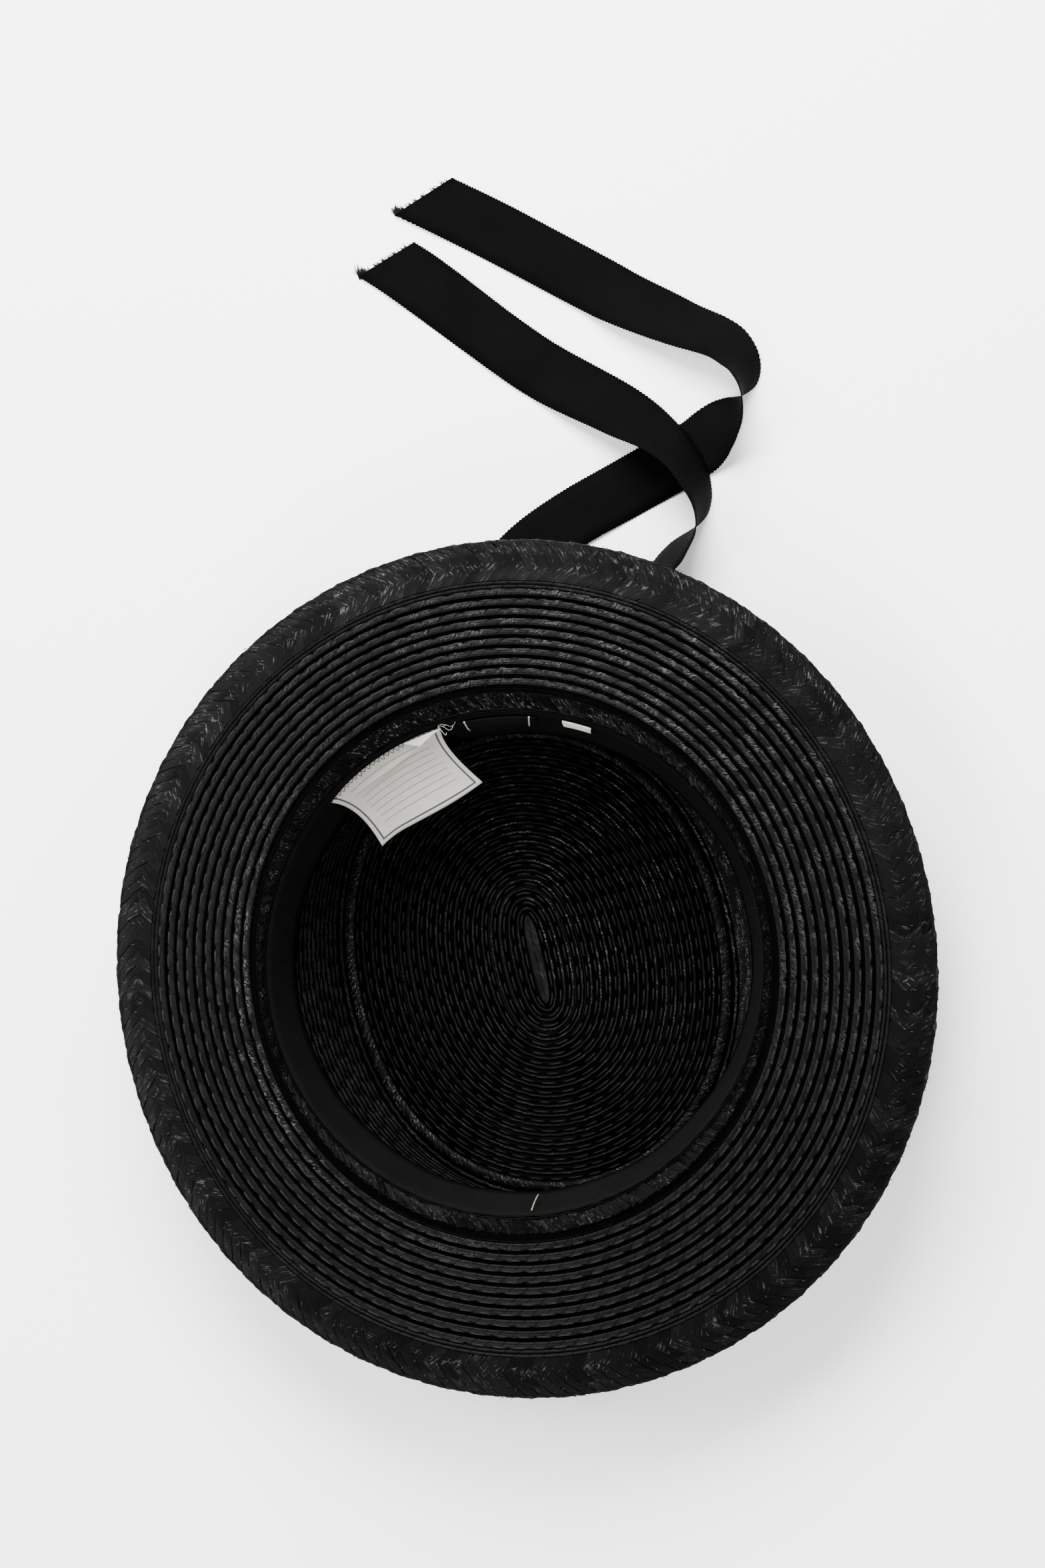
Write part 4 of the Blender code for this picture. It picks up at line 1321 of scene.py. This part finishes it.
def make_label_stitches(seam, foot, rng):
    """Black zigzag stitches along the label's seam."""
    teeth = np.arange(46)
    depth = np.where(teeth % 2 == 0, -0.5, 1.5) * rng.uniform(0.7, 1.2, teeth.size) * MM
    path = seam[teeth] + unit(foot - seam)[teeth] * depth[:, None] + np.array((0.0, -0.4, 0.7)) * MM
    paths = mix(path[:-1, None], path[1:, None], np.linspace(0.0, 1.0, 4)[:, None])
    return make_tubes("care_label_stitches", paths, 0.11 * MM)


def make_label_frays(corner):
    """Loose threads at the end of the label's seam."""
    t = np.linspace(0.0, 1.0, 6)[:, None]
    ends = np.array(((6.0, -1.0, 0.5), (4.5, 2.0, 0.2), (7.5, 1.0, -0.6), (3.0, -3.0, 0.3))) * MM
    bow = np.array((0.0, 1.0, 1.4)) * MM * np.sin(2.2 * math.pi * t)
    return make_tubes("care_label_frays", corner + ends[:, None] * t + bow, 0.10 * MM)


def make_name_tag(woven):
    """The black woven tag, sewn to the sweatband by one edge."""
    u = np.linspace(0.0, 1.0, 33)
    seam = on_wall(mix(90.5, 71.8, u), 0.0896, 0.0632)
    foot = on_wall(mix(90.0, 72.4, u), 0.0872 - 0.0022 * np.sin(math.pi * u), 0.0556)
    tag = patch("name_tag_cloth", seam, foot, 13, 0.4 * MM, arch(0.6 * MM), NAME_TAG_SIZE)
    dress(tag, woven, ("name_tag",))


def make_size_tag(plain):
    """The small pale tag beside it, sewn on in the same way."""
    u = np.linspace(0.0, 1.0, 17)
    seam = on_wall(mix(65.6, 58.6, u), 0.0896, 0.0632)
    foot = on_wall(mix(65.4, 58.8, u), 0.0880, 0.0568)
    tag = patch("size_tag_cloth", seam, foot, 9, 0.4 * MM, arch(0.3 * MM), SIZE_TAG_SIZE)
    dress(tag, plain, ("size_tag",))


def make_front_stitch(gold):
    """The pale hand stitch that crosses the sweatband at the front."""
    t = np.linspace(0.0, 1.0, 9)[:, None]
    start, end = np.array((-0.0110, -0.0842, 0.0540)), np.array((-0.0130, -0.0886, 0.0650))
    path = mix(start, end, t) + np.array((0.3, 0.7, 0.3)) * MM * np.sin(math.pi * t)
    dress(make_tubes("front_stitch", path[None], 0.22 * MM, 6), gold)


# Floor, light and camera


def make_floor():
    """A plain pale floor with a very faint unevenness."""
    paint = Paint("floor_paper", Roughness=0.9, Specular_IOR_Level=0.2)
    paint.set("Base Color", paint.blend(paint.noise(paint.place(), 3.0), *FLOOR_TONES))
    points = [(x * FLOOR_HALF, y * FLOOR_HALF, 0.0) for x, y in ((-1, -1), (1, -1), (1, 1), (-1, 1))]
    floor = make_object("floor", points, [(0, 1, 2, 3)])
    floor.data.materials.append(paint.material)
    floor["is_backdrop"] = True


def picture_turn(degrees):
    """A level direction, counted counterclockwise from the picture's right."""
    turn = math.radians(degrees - CAMERA_ROLL)
    return Vector((math.cos(turn), math.sin(turn), 0.0))


def add_lamp(name, turn, distance, size, power):
    """A soft round lamp on one side of the picture, aimed at the hat."""
    rise = math.radians(LAMP_RISE)
    light = bpy.data.lights.new(name, "AREA")
    light.shape, light.size, light.energy = "DISK", size, power
    lamp = bpy.data.objects.new(name, light)
    lamp.location = LIGHT_AIM + picture_turn(turn) * math.cos(rise) * distance
    lamp.location.z = math.sin(rise) * distance
    lamp.rotation_euler = (LIGHT_AIM - lamp.location).to_track_quat("-Z", "Y").to_euler()
    bpy.context.scene.collection.objects.link(lamp)


def light_scene():
    """Soft lamps round the hat in even white surroundings, strongest behind it."""
    world = bpy.data.worlds.new("studio")
    world.use_nodes = True
    background = world.node_tree.nodes["Background"]
    background.inputs["Color"].default_value = (1.0, 1.0, 1.0, 1.0)
    background.inputs["Strength"].default_value = WORLD_STRENGTH
    bpy.context.scene.world = world
    for lamp in LAMPS:
        add_lamp(*lamp)


def place_camera():
    """Looks down at the hat, rolled, from a little to the right and to the front."""
    roll = math.radians(CAMERA_ROLL)
    right = Vector((math.cos(roll), -math.sin(roll), 0.0))
    up = Vector((math.sin(roll), math.cos(roll), 0.0))
    back = Vector((0.0, 0.0, 1.0)) + right * math.tan(math.radians(CAMERA_ASIDE))
    back = (back - up * math.tan(math.radians(CAMERA_BELOW))).normalized()
    side = (right - back * right.dot(back)).normalized()
    turn = Matrix((side, back.cross(side), back)).transposed().to_4x4()
    data = bpy.data.cameras.new("camera")
    data.lens, data.sensor_width, data.clip_start = CAMERA_LENS, CAMERA_SENSOR, 0.01
    camera = bpy.data.objects.new("camera", data)
    camera.matrix_world = Matrix.Translation(CAMERA_TARGET + back * CAMERA_DISTANCE) @ turn
    bpy.context.scene.collection.objects.link(camera)
    bpy.context.scene.camera = camera


def build_straw(rng):
    """The brim, both plaits and the crown, with their threads."""
    straw = straw_paint("straw_rows", 0.0022, 0.016)
    # A copy of the straw with less gloss and softer creases for the inside of the tip, so that it looks
    # darker in the crown's shade.
    inner = straw_paint("straw_inside_shaded", 0.0026, 0.007, 0.75)
    splint = plait_paint("straw_splints", 0.0026, 0.0055)
    dull = plait_paint("straw_splints_dull", 0.0008, 0.0065)
    olive = thread_paint("thread_olive", (0.018, 0.018, 0.0145), 0.4)
    # Painted shade: the same thread painted darker for inside the crown.
    shaded_thread = thread_paint("thread_inside_shaded", (0.0075, 0.0075, 0.0065), 0.5)
    make_brim(straw, olive, rng)
    make_edge_plait(straw, splint, olive, rng)
    make_rim_plait(straw, dull, rng)
    make_crown(inner, straw, shaded_thread, rng)
    make_heart(inner, rng)
    make_crown_skin(straw)
    make_corner_rib(straw, splint, rng)


def build_cloth(rng):
    """The bands, the knot, the tails, the labels and their threads."""
    cloth = ribbed_paint("grosgrain_black", 0.0006, 0.14 * MM)
    # Painted light: the same grosgrain painted lighter for the sweatband, whose steep face gets little light.
    lightened_lining = ribbed_paint("grosgrain_lining_lightened", 0.0013, 0.06 * MM)
    black = thread_paint("thread_black", (0.003, 0.003, 0.003), 0.7)
    ivory = thread_paint("thread_ivory", (0.45, 0.44, 0.38), 0.6)
    gold = thread_paint("thread_gold", (0.26, 0.21, 0.13), 0.6)
    # The label's cotton is painted darker than the same cotton on its folded corner: partly painted shade
    # inside the crown, partly standing in for its printed text.
    lined = cotton_paint("cotton_lined_darkened", (0.34, 0.328, 0.29), lined=True)
    plain = cotton_paint("cotton_plain", (0.52, 0.50, 0.45))
    woven = woven_tag_paint("tag_black", (0.0015, 0.0015, 0.0016), (0.40, 0.40, 0.40))
    make_sweatband(lightened_lining, rng)
    make_hatband(cloth, rng)
    make_knot(cloth)
    make_tail("tail_long_ribbon", "ribbon_tail_long", 7 * MM, cloth, black, rng)
    make_tail("tail_short_ribbon", "ribbon_tail_short", 12 * MM, cloth, black, rng)
    make_care_label(lined, plain, black, ivory, rng)
    make_name_tag(woven)
    make_size_tag(plain)
    make_front_stitch(gold)


place_camera()
draws = np.random.default_rng(7)
build_straw(draws)
build_cloth(draws)
make_floor()
light_scene()

corners = {"cad": CAD_BOX, "visual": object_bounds()}
boxes = {name: [[float(value) for value in corner] for corner in box] for name, box in corners.items()}
